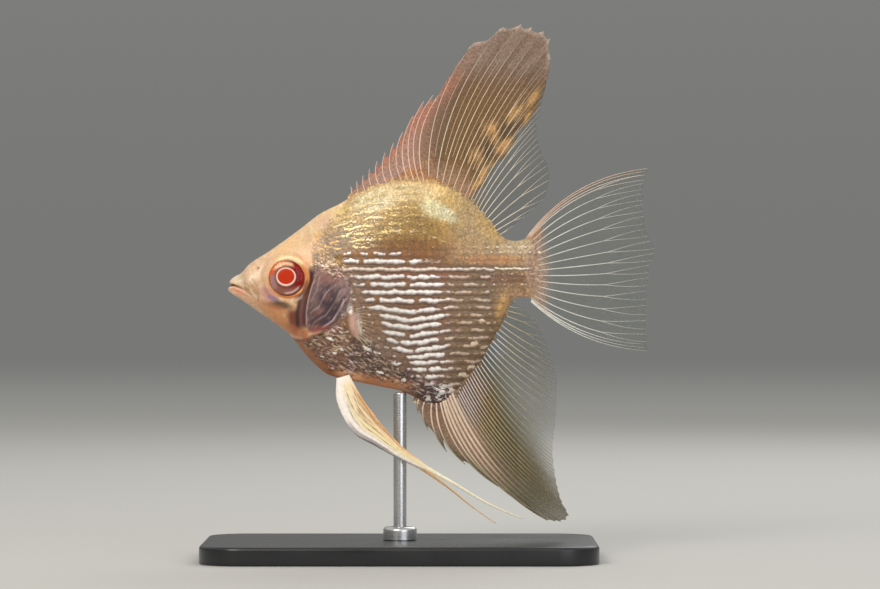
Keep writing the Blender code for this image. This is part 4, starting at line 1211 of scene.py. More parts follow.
TAIL_TIPS = curve(
    (0, 53, 83.4), (2, 52, 79.6), (4, 52, 75), (6, 53, 69.8), (7.5, 54.4, 65.8),
    (9, 53.4, 62), (11, 52.8, 56.4), (13, 52.6, 50), (15, 53, 44.5))
TAIL_NOTCH = curve((0, 0), (1, 0.25), (14, 0.25), (15, 0))
TAIL_BOW = curve((0, 3.3), (7.5, 0), (15, -2.5))
SUNK = 1.1          # how deep the fins' roots reach into the body
FILM = 0.035        # half thickness of a membrane at its edge
ROOT_FILM = 0.24    # thickness of a midline fin's membrane at its root
YELLOW_PATCHES = (
    # middle, radii, lean, strength of the yellow patches in the rear of the dorsal fin
    ((24.8, 96), (2.6, 1.6), 42, 0.8), ((27.4, 94.2), (1.2, 0.8), 30, 1),
    ((19.5, 91.5), (2.6, 1.3), -42, 1), ((22.4, 88.4), (2, 1.4), 42, 1),
    ((16.5, 85.7), (2, 1.3), -40, 0.9), ((18.4, 83.2), (1.8, 1), 52, 1),
    ((16.9, 80.8), (1.6, 0.9), 52, 0.9), ((28.7, 98.9), (2.6, 0.8), 56, 0.8))
CLEAR_EDGE = (   # front border of the dorsal fin's clear part
    (12.4, 75.4), (15, 77.4), (17.7, 80), (19.4, 83.4), (22.6, 86.4), (24.3, 89.4), (25.2, 91.6),
    (27.8, 93.8), (30.2, 98.6), (33.4, 106))


def fan(roots, tips, bow, t):
    """Points (x, z) along curved rays: a parabola from root to tip that bulges by bow half way."""
    chord = tips - roots
    size = np.maximum(np.linalg.norm(chord, axis=-1, keepdims=True), 1e-6)
    normal = np.stack([-chord[..., 1], chord[..., 0]], -1) / size
    bend = (roots + tips) / 2 + 2 * bow[..., None] * normal
    t = np.asarray(t)[..., None]
    return (1 - t) ** 2 * roots + 2 * t * (1 - t) * bend + t ** 2 * tips


def edge_root(edge, x, inward):
    """Points on the body's edge, sunk into the skin by inward."""
    slope = (edge(x + 0.05) - edge(x - 0.05)) / 0.1
    normal = np.stack([-slope, np.ones_like(slope)], -1) / np.hypot(slope, 1)[..., None]
    return np.stack([x, edge(x)], -1) + inward * normal


def dorsal_at(ray, t):
    """Points of the dorsal fin at a ray's number and a share t of its length."""
    return fan(edge_root(BACK, DORSAL_ROOT_X(ray), -SUNK), DORSAL_TIPS(ray), DORSAL_BOW(ray), t)


def anal_at(ray, t):
    """Points of the anal fin at a ray's number and a share t of its length."""
    return fan(edge_root(BELLY, ANAL_ROOT_X(ray), SUNK), ANAL_TIPS(ray), ANAL_BOW(ray), t)


def tail_at(ray, t):
    """Points of the tail fin at a ray's number and a share t of its length."""
    roots = TAIL_END(1.05 + 1.9 * np.asarray(ray) / TAIL_RAYS) - (1.6, 0)
    return fan(roots, TAIL_TIPS(ray), TAIL_BOW(ray), t)


def build_membrane(name, at, rays, notch, thick_root, wave, colour, cover, node, mat, spines=0):
    """Closed film over a fan of rays: columns between the rays, rows from root to edge.

    Its edge is drawn in between the rays' tips: between spines by notch*frac + 0.9*sin(pi*frac),
    where frac runs from 0 to 1 between two rays, and further back by a sine scallop of depth notch.
    It waves sideways a little towards the edge.
    """
    columns, rows = rays * 6 + 1, 48
    ray = np.linspace(0, rays, columns)
    step = np.where((ray >= 12) & (ray < 24) & (rays == DORSAL_RAYS), 2, 1)   # every second one is weak
    frac = ray / step - np.floor(ray / step)
    scallop = np.where(ray < spines, notch(ray) * frac + 0.9 * np.sin(math.pi * frac),
            notch(ray) * np.sin(math.pi * frac) ** 0.8)
    length = np.linalg.norm(at(ray, np.ones_like(ray)) - at(ray, np.zeros_like(ray)), axis=-1)
    t = np.linspace(0, 1, rows)[:, None] * (1 - np.minimum(scallop / np.maximum(length, 0.1), 0.4))
    ray = np.broadcast_to(ray, t.shape)
    x, z = np.moveaxis(at(ray, t), -1, 0)
    half = FILM + (thick_root / 2 - FILM) * (1 - t) ** 4
    sway = wave(ray, t)
    sheets = [np.stack([x, sway + way * half, z], -1).reshape(-1, 3) for way in (-1, 1)]
    faces = film_faces(rows, columns)
    if (x[1, 0] - x[0, 0]) * (z[0, 1] - z[0, 0]) < (z[1, 0] - z[0, 0]) * (x[0, 1] - x[0, 0]):
        faces = faces[:, ::-1]   # so that the first sheet faces left
    piece = add_mesh(name, np.concatenate(sheets), faces.tolist(), mat, replaces=(node,))
    u = np.broadcast_to(np.linspace(0, 1, rows)[:, None], t.shape)
    uv = np.stack([u, ray / rays * 0.49], -1).reshape(-1, 2)
    lay_out(piece, "OFBake", np.concatenate([uv, uv + (0, 0.51)])[faces.ravel()])
    paint(piece, np.concatenate([colour(ray, t, x, z).reshape(-1, 3)] * 2))
    weigh(piece, "cover", np.concatenate([cover(ray, t, x, z).ravel()] * 2))
    return piece


def build_rays(name, at, paths, wave, colour, cover, mat, sides=6, steps=26):
    """Tapered rods along rays, as one mesh of closed tubes; cover says how solid they look.

    paths holds (ray, drift, start, end, thick, thin) for each rod: it follows ray + drift*e, with e
    easing from 0 to 1 between its start and end along the ray.
    """
    ray, drift, start, end, thick, thin = (np.array(column)[:, None] for column in zip(*paths))
    e = np.linspace(0, 1, steps)[None, :]
    t = start + (end - start) * e
    k = ray + drift * np.sin(e * math.pi / 2)
    flat = at(k, t)
    run = np.gradient(flat, axis=1)
    run /= np.linalg.norm(run, axis=-1, keepdims=True)
    radius = thick + (thin - thick) * e ** 0.8
    turn = np.arange(sides) * math.tau / sides
    out = radius[..., None] * np.cos(turn)
    x = flat[..., :1] - run[..., 1:] * out
    z = flat[..., 1:] + run[..., :1] * out
    y = wave(k, t)[..., None] + 1.15 * radius[..., None] * np.sin(turn)
    points = np.stack([x, y, z], -1)
    shift = steps * sides * np.arange(len(paths))[:, None, None]
    walls = (grid_faces(steps, sides, wrap=True) + shift).reshape(-1, 4)
    caps = np.array([np.arange(sides), steps * sides - 1 - np.arange(sides)])
    ends = (caps + shift).reshape(-1, sides)
    piece = add_mesh(name, points, walls.tolist() + ends.tolist(), mat)
    distance = np.cumsum(np.linalg.norm(np.diff(flat, axis=1, prepend=flat[:, :1]), axis=-1), axis=1)
    weigh(piece, "along", np.repeat(distance[..., None], sides, -1))
    weigh(piece, "cover", np.repeat(cover(k, t)[..., None], sides, -1))
    tone = colour(k, t, flat[..., 0], flat[..., 1])
    paint(piece, np.repeat(tone[:, :, None, :], sides, 2))
    return piece


def soft_ray_paths(first, last, step, fork, thick, thin, spread, end):
    """Stems that fork once and end in two branches, for soft rays from first to last."""
    paths = []
    for ray in np.arange(first, last + 1e-6, step):
        paths.append((ray, 0, 0, fork + 0.03, thick, thick * 0.62))
        for way in (-1, 1):
            paths.append((ray, way * spread, fork, end, thick * 0.55, thin))
    return paths


def ripple_wave(amount, seed):
    """Sideways sway of a fin: a slow ripple times amount*t^1.6, so that it grows towards the edge."""
    def wave(ray, t):
        """Sway at a ray's number and a share t of its length."""
        return amount * t ** 1.6 * ripple(np.asarray(ray, float), t * 2, seed, 16)
    return wave


def streaks(ray, t, seed):
    """Uneven tone that changes from one gap between rays to the next and wanders along them."""
    return ripple(np.floor(ray) * 5.3, t * 14, seed, 9)


def dorsal_clear(x, z):
    """1 in the clear rear part of the dorsal fin."""
    ragged = 0.5 * ripple(0.8 * x - 0.6 * z, 0.3 * (0.6 * x + 0.8 * z), 6, 1.2)
    return ease(-0.5, 0.6, away(x, z, CLEAR_EDGE) + ragged)


def dorsal_colour(ray, t, x, z):
    """Dorsal fin: pink-tan between the spines, brown with yellow patches behind, then clear grey.

    The patches slip along the rays by up to 1.2 mm, differently in each half gap between rays.
    """
    uneven = streaks(ray, t, 14)
    slip = 1.2 * (np.random.default_rng(15).uniform(-1, 1, 80)[np.floor(ray * 2).astype(int)])
    sx, sz = x + 0.585 * slip, z + 0.81 * slip
    yellow = np.max([strength * spot(sx, sz, middle, radii, lean, 0.8)
            for middle, radii, lean, strength in YELLOW_PATCHES], axis=0)
    dark = np.maximum(spot(sx, sz, (23.6, 92.2), (2.4, 1.3), 40, 0.8),
            spot(sx, sz, (18.9, 87.4), (1.2, 2.4), -42, 0.8))
    orange_foot = hill(ray - 8.6, 3)
    flecks = ease(0.25, 0.7, ripple(x, z, 16, 0.7)) * ease(0.3, 0.12, t) * hill(ray - 8.6, 4)
    return layered(
        "#8A6C54", x,
        ("#C69C86", ease(13.5, 9, ray)),
        ("#C88A70", 0.8 * ease(14.5, 11.5, ray) * ease(0.45, 0.7, t) * ease(0.97, 0.85, t)),
        ("#BCA09A", 0.8 * ease(0.5, 0.05, t) * ease(11, 6, ray)),
        ("#8C6A3E", ease(12.5, 16, ray) * ease(106, 97, z)),
        ("#A48C7A", 0.8 * ease(101, 107, z)),
        ("#B6947A", 0.9 * ease(0.2, 0.05, t) * ease(7, 11, ray) * ease(29, 24, ray)),
        ("#CE8E52", 0.9 * ease(0.24, 0.06, t) * orange_foot),
        ("#4A362A", 0.5 * np.minimum(1, 1.3 * dark)),
        ("#E2B06C", 0.85 * ease(0.2, 0.8, yellow * (0.85 + 0.5 * uneven))),
        ("#6B5238", 0.35 * ease(0.1, 0.9, uneven) * ease(12, 15, ray)),
        ("#F0BC70", flecks),
        ("#D6C2B2", 0.8 * ease(0.955, 0.985, t) * ease(10, 11, ray) * ease(25, 23.5, ray)),
        ("#5E5C50", dorsal_clear(x, z)))


def dorsal_cover(ray, t, x, z):
    """How solid the dorsal film is: most at its root, less at the front and in the clear part."""
    share = 0.78 + 0.12 * ease(0.5, 0, t) - 0.16 * ease(9, 3, ray) + 0.06 * streaks(ray, t, 19)
    return share * (1 - 0.8 * dorsal_clear(x, z))


def anal_clear(ray, t):
    """1 in the clear rear part of the anal fin."""
    return ease(15, 23, ray + 6 * (t - 0.5))


def anal_colour(ray, t, x, z):
    """Anal fin: tan between the spines, olive brown behind them, then clear grey."""
    return layered(
        "#625632", x,
        ("#9C8068", ease(12.5, 8, ray)),
        ("#BC9A84", 0.7 * ease(0.5, 0.2, t) * ease(5, 7, ray) * ease(14, 9, ray)),
        ("#94705C", 0.7 * ease(0.55, 0.2, t) * ease(6, 3, ray)),
        ("#A8968C", 0.7 * ease(4, 2, ray) * ease(0.4, 0.8, t)),
        ("#96683A", 0.7 * ease(0.5, 0.1, t) * ease(9, 13, ray) * ease(22, 16, ray)),
        ("#5E5640", 0.5 * ease(0, 0.9, streaks(ray, t, 24)) * ease(8, 11, ray)),
        ("#5E5C42", 0.85 * ease(0.45, 0.8, t) * ease(14, 9, ray)),
        ("#63665A", anal_clear(ray, t)))


def anal_cover(ray, t, x, z):
    """How solid the anal film is: most at its root, less at its edge and in the clear part."""
    share = 0.84 + 0.08 * ease(0.4, 0, t) - 0.28 * ease(0.75, 1, t) + 0.06 * streaks(ray, t, 29)
    return share * (1 - 0.78 * anal_clear(ray, t))


def tail_colour(ray, t, x, z):
    """Tail fin: clear grey with an orange upper edge and pinkish skin over the root."""
    return layered(
        "#6E7266", x,
        ("#C08A5C", 0.8 * ease(1.1, 0.3, ray) * ease(0.5, 0.15, t)),
        ("#BEA490", 0.9 * ease(0.22, 0.08, t + 0.03 * streaks(ray, t, 38))),
        ("#C08A62", 0.9 * ease(3, 1, ray) * ease(0.22, 0.1, t)))


def tail_cover(ray, t, x, z):
    """How solid the tail film is: full at its root, faint behind, a little more at both edges."""
    root = ease(0.17, 0.07, t + 0.03 * ripple(ray * 4, t * 9, 37, 3))
    share = 0.15 + 0.8 * root + 0.1 * ease(1.1, 0.2, ray) + 0.05 * ease(14.2, 15, ray)
    return share + 0.04 * streaks(ray, t, 39)


def ray_tint(base, front, limit, root="#F1E6D4", span=(0, 0, 0, 0), depth=0.2, far=None):
    """Ray colour: front on the first rays, then base, with root at the feet of the rays in span, and
    far on the outer half of the first rays."""
    def colour(ray, t, x, z):
        """Colour at a ray's number and a share t of its length."""
        tone = layered(base, x, (front, ease(limit + 3, limit, ray)))
        if far:
            tone = blend(tone, far, 0.85 * ease(0.3, 0.75, t) * ease(limit + 8, limit, ray))
        tone = tone * (1 + 0.12 * streaks(ray, t, 44))[..., None]
        foot = ease(span[0] - 0.01, span[1], ray) * ease(span[3] + 0.01, span[2], ray)
        return blend(tone, root, 0.85 * foot * ease(depth + 0.12, depth - 0.06, t))
    return colour


def ray_cover(solid, start, last):
    """Full up to start along the rays behind the solid ones, then falling to last at the margin."""
    def cover(ray, t):
        """How solid a rod is at a ray's number and a share t of its length."""
        return 1 - (1 - last) * ease(start, 1, t) * ease(solid, solid + 2, ray)
    return cover


def build_midline_fins(settings):
    """Dorsal, anal and tail fin: films, spines and forked soft rays."""
    film, horn = membrane_material(), ray_material()
    stem, tip = settings.ray_radius / MM, settings.ray_tip_radius / MM

    sway = ripple_wave(0.5, 3)
    build_membrane("dorsal_membrane", dorsal_at, DORSAL_RAYS, DORSAL_NOTCH, ROOT_FILM, sway, dorsal_colour,
            dorsal_cover, "dorsal_fin", film, spines=DORSAL_SPINES)
    rods = [(k, 0, 0, 1, stem * 1.45, tip * 1.2) for k in np.arange(0, 12)]
    rods += [(k, 0, 0, 0.975, stem * 1.05, tip * 0.8) for k in np.arange(12, 24, 2)]
    rods += [(k, 0, 0, 0.94, stem * 0.6, tip * 0.6) for k in np.arange(13, 24, 2)]
    rods += soft_ray_paths(24, DORSAL_RAYS, 1, 0.55, stem * 0.85, tip, 0.25, 0.99)
    build_rays("dorsal_rays", dorsal_at, rods, sway,
            ray_tint("#DCD0BC", "#E0C0B0", 10, "#E2B27C", (12, 18, 28, 33), 0.1),
            ray_cover(11, 0.6, 0.4), horn)

    sway = ripple_wave(0.5, 8)
    build_membrane("anal_membrane", anal_at, ANAL_RAYS, ANAL_NOTCH, ROOT_FILM, sway, anal_colour,
            anal_cover, "anal_fin", film, spines=ANAL_SPINES)
    rods = [(k, 0, 0, 1, stem * 1.9, tip * 2) for k in np.arange(0, 6)]
    rods += [(k, 0, 0, 0.97, stem * 2.4, stem * 0.6) for k in (5.7, 6.5, 7.4, 8.3, 9.2)]
    rods += soft_ray_paths(10, ANAL_RAYS, 0.75, 0.6, stem, tip, 0.2, 0.995)
    build_rays("anal_rays", anal_at, rods, sway,
            ray_tint("#B4A884", "#DCC4AC", 8.5, "#D3D6E2", (8, 12, 24, 29), 0.2, "#86805E"),
            ray_cover(6, 0.35, 0.35), horn)

    sway = ripple_wave(0.45, 12)
    build_membrane("tail_membrane", tail_at, TAIL_RAYS, TAIL_NOTCH, ROOT_FILM, sway, tail_colour,
            tail_cover, "tail_fin", film)
    rods = soft_ray_paths(1, TAIL_RAYS - 1, 1, 0.62, stem * 0.9, tip, 0.3, 0.995)
    rods += [(k, drift, 0, end, stem * 1.05, tip) for k, drift, end in (
        (0, 0, 1), (0.3, -0.02, 0.98), (0.62, 0.06, 0.95), (14.45, 0.05, 0.96),
        (14.75, 0.02, 0.98), (15, 0, 1))]
    build_rays("tail_rays", tail_at, rods, sway,
            ray_tint("#D6D6CC", "#D8A486", -1, "#D9C8B8", (0, 1, 14, 15), 0.12),
            ray_cover(0.5, 0.35, 0.3), horn)


# ---------------- paired fins

# Middle line of each pelvic fin over its length: x, z, half width, distance from the midplane.
PELVIC_LEFT = curve(
    (0, -12.2, 39, 1.5, 1.5), (0.1, -10.9, 34.4, 2.6, 2.3), (0.22, -8, 29.5, 3, 3.1),
    (0.32, -4.2, 26.3, 2, 3.7), (0.43, 0.5, 22.7, 1.15, 3.9), (0.52, 4.3, 20.4, 0.72, 3.9),
    (0.56, 6, 19.4, 0.48, 3.85), (0.7, 12, 16, 0.38, 3.6), (0.85, 18.9, 11.9, 0.36, 3.1),
    (1, 26.1, 8.7, 0.28, 2.7))
PELVIC_RIGHT = curve(
    (0, -12.2, 39, 1.5, 1.5), (0.1, -11.3, 34.2, 2.4, 2.3), (0.24, -8.4, 28.6, 2.4, 3.1),
    (0.36, -4.6, 25.2, 1.5, 3.7), (0.48, 0.2, 21.8, 0.8, 3.9), (0.58, 4.3, 19.4, 0.45, 3.9),
    (0.74, 10.2, 15.2, 0.3, 3.4), (0.88, 15.6, 10.9, 0.28, 2.8), (1, 20.5, 7.5, 0.26, 2.4))
PELVIC_HALF = curve((0, 0.5), (0.5, 0.3), (0.6, 0.22), (1, 0.11))   # half its thickness
SLITS = (   # place across the blade, start and end along it of the brown slits between the rays
    (0.62, 0.03, 0.2), (0.84, 0.08, 0.34), (-0.35, 0.1, 0.2), (0.2, 0.14, 0.3),
    (0.02, 0.05, 0.18), (-0.15, 0.2, 0.36), (0.4, 0.08, 0.24), (0.72, 0.2, 0.4))


def pelvic_tone(side, across, t, blade):
    """Colour of a pelvic fin: cream with orange and brown behind and white in front."""
    grain_lines = ripple(across * 9, t * 5, 12, 3)
    coats = [
        ("#F6EDE6", 0.95 * ease(0, -0.6, across)),
        ("#EEDCA4", 0.8 * hill(across - 0.05, 0.4) * ease(0.1, 0.3, t) * ease(0.7, 0.5, t)),
        ("#E2A868", 0.9 * ease(0.45, 0.9, across) * ease(0.02, 0.12, t) * ease(0.6, 0.42, t)),
        ("#F0C890", 0.5 * hill(across - 0.42, 0.1) * blade),
        ("#B98A55", 0.45 * ease(0.2, 0.9, grain_lines) * blade * ease(-0.5, 0.3, across))]
    for place, first, last in SLITS:
        slit = hill(across - place - 0.04 * np.sin(t * 40 + 9 * place), 0.03)
        slit = slit * ease(first, first + 0.04, t) * ease(last + 0.05, last, t)
        coats += [("#6E4424", 0.85 * slit)]
    coats += [
        ("#A79C9E", 0.8 * ease(-0.62, -0.8, across) * ease(0.17, 0.22, t) * ease(0.42, 0.36, t)),
        ("#F7EEE2", 0.9 * ease(0.05, 0, t)),
        ("#DDAE74" if side == RIGHT else "#F4ECCC", ease(0.5, 0.62, t)),
        ("#EADCBE", 0.5 * ease(0.8, 1, t))]
    return layered("#EFDCB6", t, *coats)


def build_pelvic(side, line, mat):
    """Ribbed blade that runs out into a thread: an oval section carried along the fin's middle
    line, its thickness raised and lowered by the rays that lie side by side across it. The rays
    fade where the thread begins."""
    stations, sides = 190, 84
    t = np.linspace(0, 1, stations)
    x, z, half, out = line(t).T
    run = np.gradient(np.column_stack([x, z]), axis=0)
    run /= np.linalg.norm(run, axis=1)[:, None]
    turn = np.arange(sides) * math.tau / sides
    wide, deep = np.cos(turn), np.sin(turn)
    ribs = 0.7 + 0.3 * np.abs(np.cos((wide + 0.15 * wide ** 2) * math.pi * 3.1))
    blade = ease(0.62, 0.4, t)[:, None]
    thick = PELVIC_HALF(t)[:, None] * deep * (1 + blade * (ribs - 1))
    width = np.minimum(half, half * (0.45 + 0.55 * ease(1, 0.55, t)))[:, None] * 0.97
    px = x[:, None] - run[:, 1:] * width * wide
    pz = z[:, None] + run[:, :1] * width * wide
    py = side * out[:, None] + thick
    word = SIDE_NAMES[side]
    piece = add_mesh(f"pelvic_{word}", np.stack([px, py, pz], -1), tube_faces(stations, sides), mat,
            replaces=(f"pelvic_fin_{word}",))
    lay_out(piece, "OFBake", tube_corners(stations, sides))
    paint(piece, pelvic_tone(side, np.broadcast_to(wide, px.shape), np.broadcast_to(t[:, None], px.shape),
            blade))


PECTORAL_RAYS = 11
PECTORAL_OUT = math.radians(20)   # angle at which the fan stands off the flank
PECTORAL_LENGTH = curve((0, 8), (1, 10.4), (3, 12.4), (6, 12), (9, 9.4), (11, 6.2))
PECTORAL_ANGLE = curve((0, 10), (11, -46))
PECTORAL_ROOT_HEIGHT = 5.6
PECTORAL_LOW = np.array(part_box("pectoral_fin_left")[0]) / MM
PECTORAL_ROOT = (PECTORAL_LOW[0] + 0.15, 5.62, 50.6)   # middle of the root line, left side


def pectoral_at(ray, t):
    """Points of the fan in its own plane: back from the root line, and up."""
    angle = np.radians(PECTORAL_ANGLE(ray))
    roots = np.stack([np.zeros_like(angle), PECTORAL_ROOT_HEIGHT * (0.5 - ray / PECTORAL_RAYS)], -1)
    tips = roots + PECTORAL_LENGTH(ray)[..., None] * np.stack([np.cos(angle), np.sin(angle)], -1)
    return fan(roots, tips, np.zeros_like(angle), t)


def pectoral_colour(ray, t, x, z):
    """Pectoral film: grey-tan, warmer at its root."""
    return layered("#B9AE98", x, ("#D8C0A8", ease(0.35, 0.05, t)))


def pectoral_cover(ray, t, x, z):
    """How solid the pectoral film is: nearly clear, a little less so at its root."""
    return 0.045 + 0.1 * ease(0.12, 0.02, t)


def pectoral_ray_cover(ray, t):
    """How solid the pectoral rays are: most at their roots and on the last, lowest ray."""
    return 0.12 + 0.3 * ease(0.5, 0, t) + 0.4 * ease(10.2, 11, ray)


def build_pectoral(side, film, horn):
    """Clear rounded fan standing a little off the flank, with fine rays.

    It is built flat and then turned outwards by PECTORAL_OUT, its end bent back by a parabola
    1.05 mm deep at 12 mm from the root.
    """
    word = SIDE_NAMES[side]
    still, notch = ripple_wave(0.15, 4), curve((0, 0.2), (PECTORAL_RAYS, 0.2))
    rods = [(k, 0, 0, 0.99, 0.07, 0.02) for k in np.arange(0, PECTORAL_RAYS + 0.1)]
    pieces = (
        build_membrane(f"pectoral_membrane_{word}", pectoral_at, PECTORAL_RAYS, notch, 0.16, still,
                       pectoral_colour, pectoral_cover, f"pectoral_fin_{word}", film),
        build_rays(f"pectoral_rays_{word}", pectoral_at, rods, still, ray_tint("#D8CBB0", "#D8CBB0", 1),
                   pectoral_ray_cover, horn))
    for piece in pieces:
        flat = np.zeros(len(piece.data.vertices) * 3)
        piece.data.vertices.foreach_get("co", flat)
        back, off, up = flat.reshape(-1, 3).T / MM
        off = off - 1.05 * (back / 12) ** 2
        x = PECTORAL_ROOT[0] + back * math.cos(PECTORAL_OUT) - off * math.sin(PECTORAL_OUT)
        y = PECTORAL_ROOT[1] + back * math.sin(PECTORAL_OUT) + off * math.cos(PECTORAL_OUT)
        placed = np.stack([x, side * y, PECTORAL_ROOT[2] + up], -1) * MM
        piece.data.vertices.foreach_set("co", placed.ravel())
        if side == LEFT:
            piece.data.flip_normals()
        piece.data.update()


# ---------------- stand

def box_mm(node):
    """Low and high corner of a solid's box, in millimetres."""
    return (np.array(corner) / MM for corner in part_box(node))


def turned(name, profile, node, mat):
    """Closed surface turned round the Z axis from a closed or axis-to-axis profile (r, z)."""
    sides = 96
    turn = np.arange(sides) * math.tau / sides
    r, z = profile[:, :1], profile[:, 1:]
    points = np.stack([r * np.cos(turn), r * np.sin(turn), np.repeat(z, sides, 1)], -1)
    if np.allclose(profile[0], profile[-1]):
        points = points[:-1]
        faces = (grid_faces(len(profile), sides, wrap=True)[:, ::-1] % points[..., 0].size).tolist()
    else:
        faces = tube_faces(len(profile), sides, flip=True)
    add_mesh(name, points, faces, mat, replaces=(node,), sharp=35)


def arc(middle, radius, start, end, steps=7):
    """Points of a round edge in a profile, angles in degrees from the r axis."""
    angle = np.radians(np.linspace(start, end, steps))
    return np.column_stack([middle[0] + radius * np.cos(angle), middle[1] + radius * np.sin(angle)])


def build_stand(settings):
    """Base board with rounded corners and rim, steel rod and its collar."""
    low, high = box_mm("stand_base")
    deck, reach, axis = high[2], (high[:2] - low[:2]) / 2, -6   # axis is well inside the corners
    corner, rim, foot_rim = settings.base_corner / MM, settings.base_rim / MM, 0.35
    turn = np.linspace(0, math.tau, 160, endpoint=False)
    round_way = np.stack([np.cos(turn), np.sin(turn)], -1)
    profile = np.vstack([
        [(axis, 0)], arc((-foot_rim, foot_rim), foot_rim, -90, 0, 5),
        arc((-rim, deck - rim), rim, 0, 90, 9), [(axis, deck)]])
    outward = corner + np.maximum(profile[:, :1, None], 0.5 - corner)
    rings = np.sign(round_way) * (reach - corner) + round_way * outward
    height = np.broadcast_to(profile[:, 1][:, None, None], rings.shape[:2] + (1,))
    add_mesh("base_board", np.concatenate([rings, height], -1),
            tube_faces(len(profile), len(turn), flip=True), lacquer_material(),
            replaces=("stand_base",), sharp=50)

    steel = steel_material()
    rod_low, rod_high = box_mm("stand_rod")
    radius, top, bevel = (rod_high[0] - rod_low[0]) / 2, rod_high[2] + 0.75, 0.5
    turned("steel_rod", np.vstack([
        [(0.05, deck + 0.05), (radius, deck + 0.05)],
        arc((radius - bevel, top - bevel), bevel, 0, 85), [(0.05, top)]]), "stand_rod", steel)
    collar_low, collar_high = box_mm("stand_collar")
    outer, foot, head = (collar_high[0] - collar_low[0]) / 2, deck + 0.02, collar_high[2]
    bore, shoulder = radius + 0.04, 0.8
    turned("steel_collar", np.vstack([
        [(bore, foot), (outer - 0.15, foot), (outer, foot + 0.15), (outer, head - 1.1)],
        arc((outer - shoulder, head - shoulder), shoulder, 0, 90), [(bore, head), (bore, foot)]]),
        "stand_collar", steel)


# ---------------- stage

def add_light(name, place, target, size, power, colour):
    """Square soft light aimed at a point."""
    lamp = bpy.data.lights.new(name, "AREA")
    lamp.shape, lamp.size, lamp.energy, lamp.color = "SQUARE", size, power, linear(colour)
    thing = add_object(name, lamp)
    thing.location = place
    thing.rotation_euler = (Vector(target) - Vector(place)).to_track_quat("-Z", "Y").to_euler()


def build_surroundings(settings):
    """Even studio dome: dimmer at the horizon, where the floor meets it, and brighter overhead."""
    world = bpy.data.worlds.new("studio")
    world.use_nodes = True
    world.node_tree.nodes.clear()
    add = partial(add_node, world.node_tree)
    height = add("SeparateXYZ", (add("TexCoord").outputs["Generated"],))
    share = add("MapRange", (height.outputs["Z"], 0, 0.7, 0, 1), interpolation_type="SMOOTHSTEP")
    colour = add("Mix", {0: share, 6: rgba(settings.horizon_colour), 7: rgba(settings.dome_colour)},
            data_type="RGBA")
    shade = add("Background", (colour.outputs[2], settings.dome_strength))
    add("OutputWorld", {"Surface": shade})
    bpy.context.scene.world = world


def build_stage(settings):
    """Pale floor, three soft lights, the dome and the camera, with colours shown as they are."""
    bpy.context.scene.view_settings.view_transform = "Standard"
    sides, thick = 96, 0.01
    turn = np.linspace(0, math.tau, sides, endpoint=False)
    ring = np.stack([np.cos(turn), np.sin(turn), np.zeros(sides)], -1) * settings.floor_reach
    mesh = bpy.data.meshes.new("floor")
    mesh.from_pydata(np.concatenate([ring, ring - (0, 0, thick)]).tolist(), [], tube_faces(2, sides))
    mesh.materials.append(floor_material(settings.horizon_colour, settings.dome_strength))
    add_object("floor", mesh)
    build_surroundings(settings)

    aim = (settings.aim_x, 0, settings.aim_z)
    add_light("key", (-0.32, -0.72, 0.5), aim, 0.35, settings.key_power, "#FFF8EE")
    add_light("fill", (0.45, -0.8, 0.14), aim, 0.6, settings.fill_power, "#F6F8FF")
    add_light("back", (0.25, 0.55, 0.5), aim, 0.5, settings.back_power, "#FFFFFF")

    lens = bpy.data.cameras.new("camera")
    lens.sensor_width = 36
    lens.lens = 36 * settings.camera_distance / settings.view_width
    lens.clip_start, lens.clip_end = 0.01, 100
    camera = add_object("camera", lens)
    camera.location = (settings.aim_x, -settings.camera_distance, settings.aim_z)
    camera.rotation_euler = (math.pi / 2, 0, 0)
    bpy.context.scene.camera = camera


# ---------------- settings, operators and panel

def length(name, description, default):
    """Setting that is a length, shown in the scene's units."""
    return bpy.props.FloatProperty(name=name, description=description, default=default,
            subtype="DISTANCE", unit="LENGTH", precision=5)


class AngelfishBodySettings(bpy.types.PropertyGroup):
    """Sizes of the skin's grid and of the scales"""
    skin_stations: bpy.props.IntProperty(
        name="Skin stations", description="Sections along the skin", default=310, min=40, max=320)
    skin_sides: bpy.props.IntProperty(
        name="Skin sides", description="Points round each section", default=300, min=24, max=320)
    row_spacing: length("Scale rows", "Height from one scale row to the next", 1.635 * MM)
    scale_pitch: length("Scale pitch", "Distance from one scale to the next along a row", 1.3 * MM)


class AngelfishFinSettings(bpy.types.PropertyGroup):
    """Sizes of the fin rays"""
    ray_radius: length("Ray radius", "Radius of a soft ray at its root", 0.15 * MM)
    ray_tip_radius: length("Ray tip radius", "Radius of a soft ray at its tip", 0.045 * MM)


class AngelfishStandSettings(bpy.types.PropertyGroup):
    """Roundings of the base"""
    base_corner: length("Corner radius", "Radius of the base's corners seen from above", 9 * MM)
    base_rim: length("Rim radius", "Rounding of the base's upper rim", 0.8 * MM)


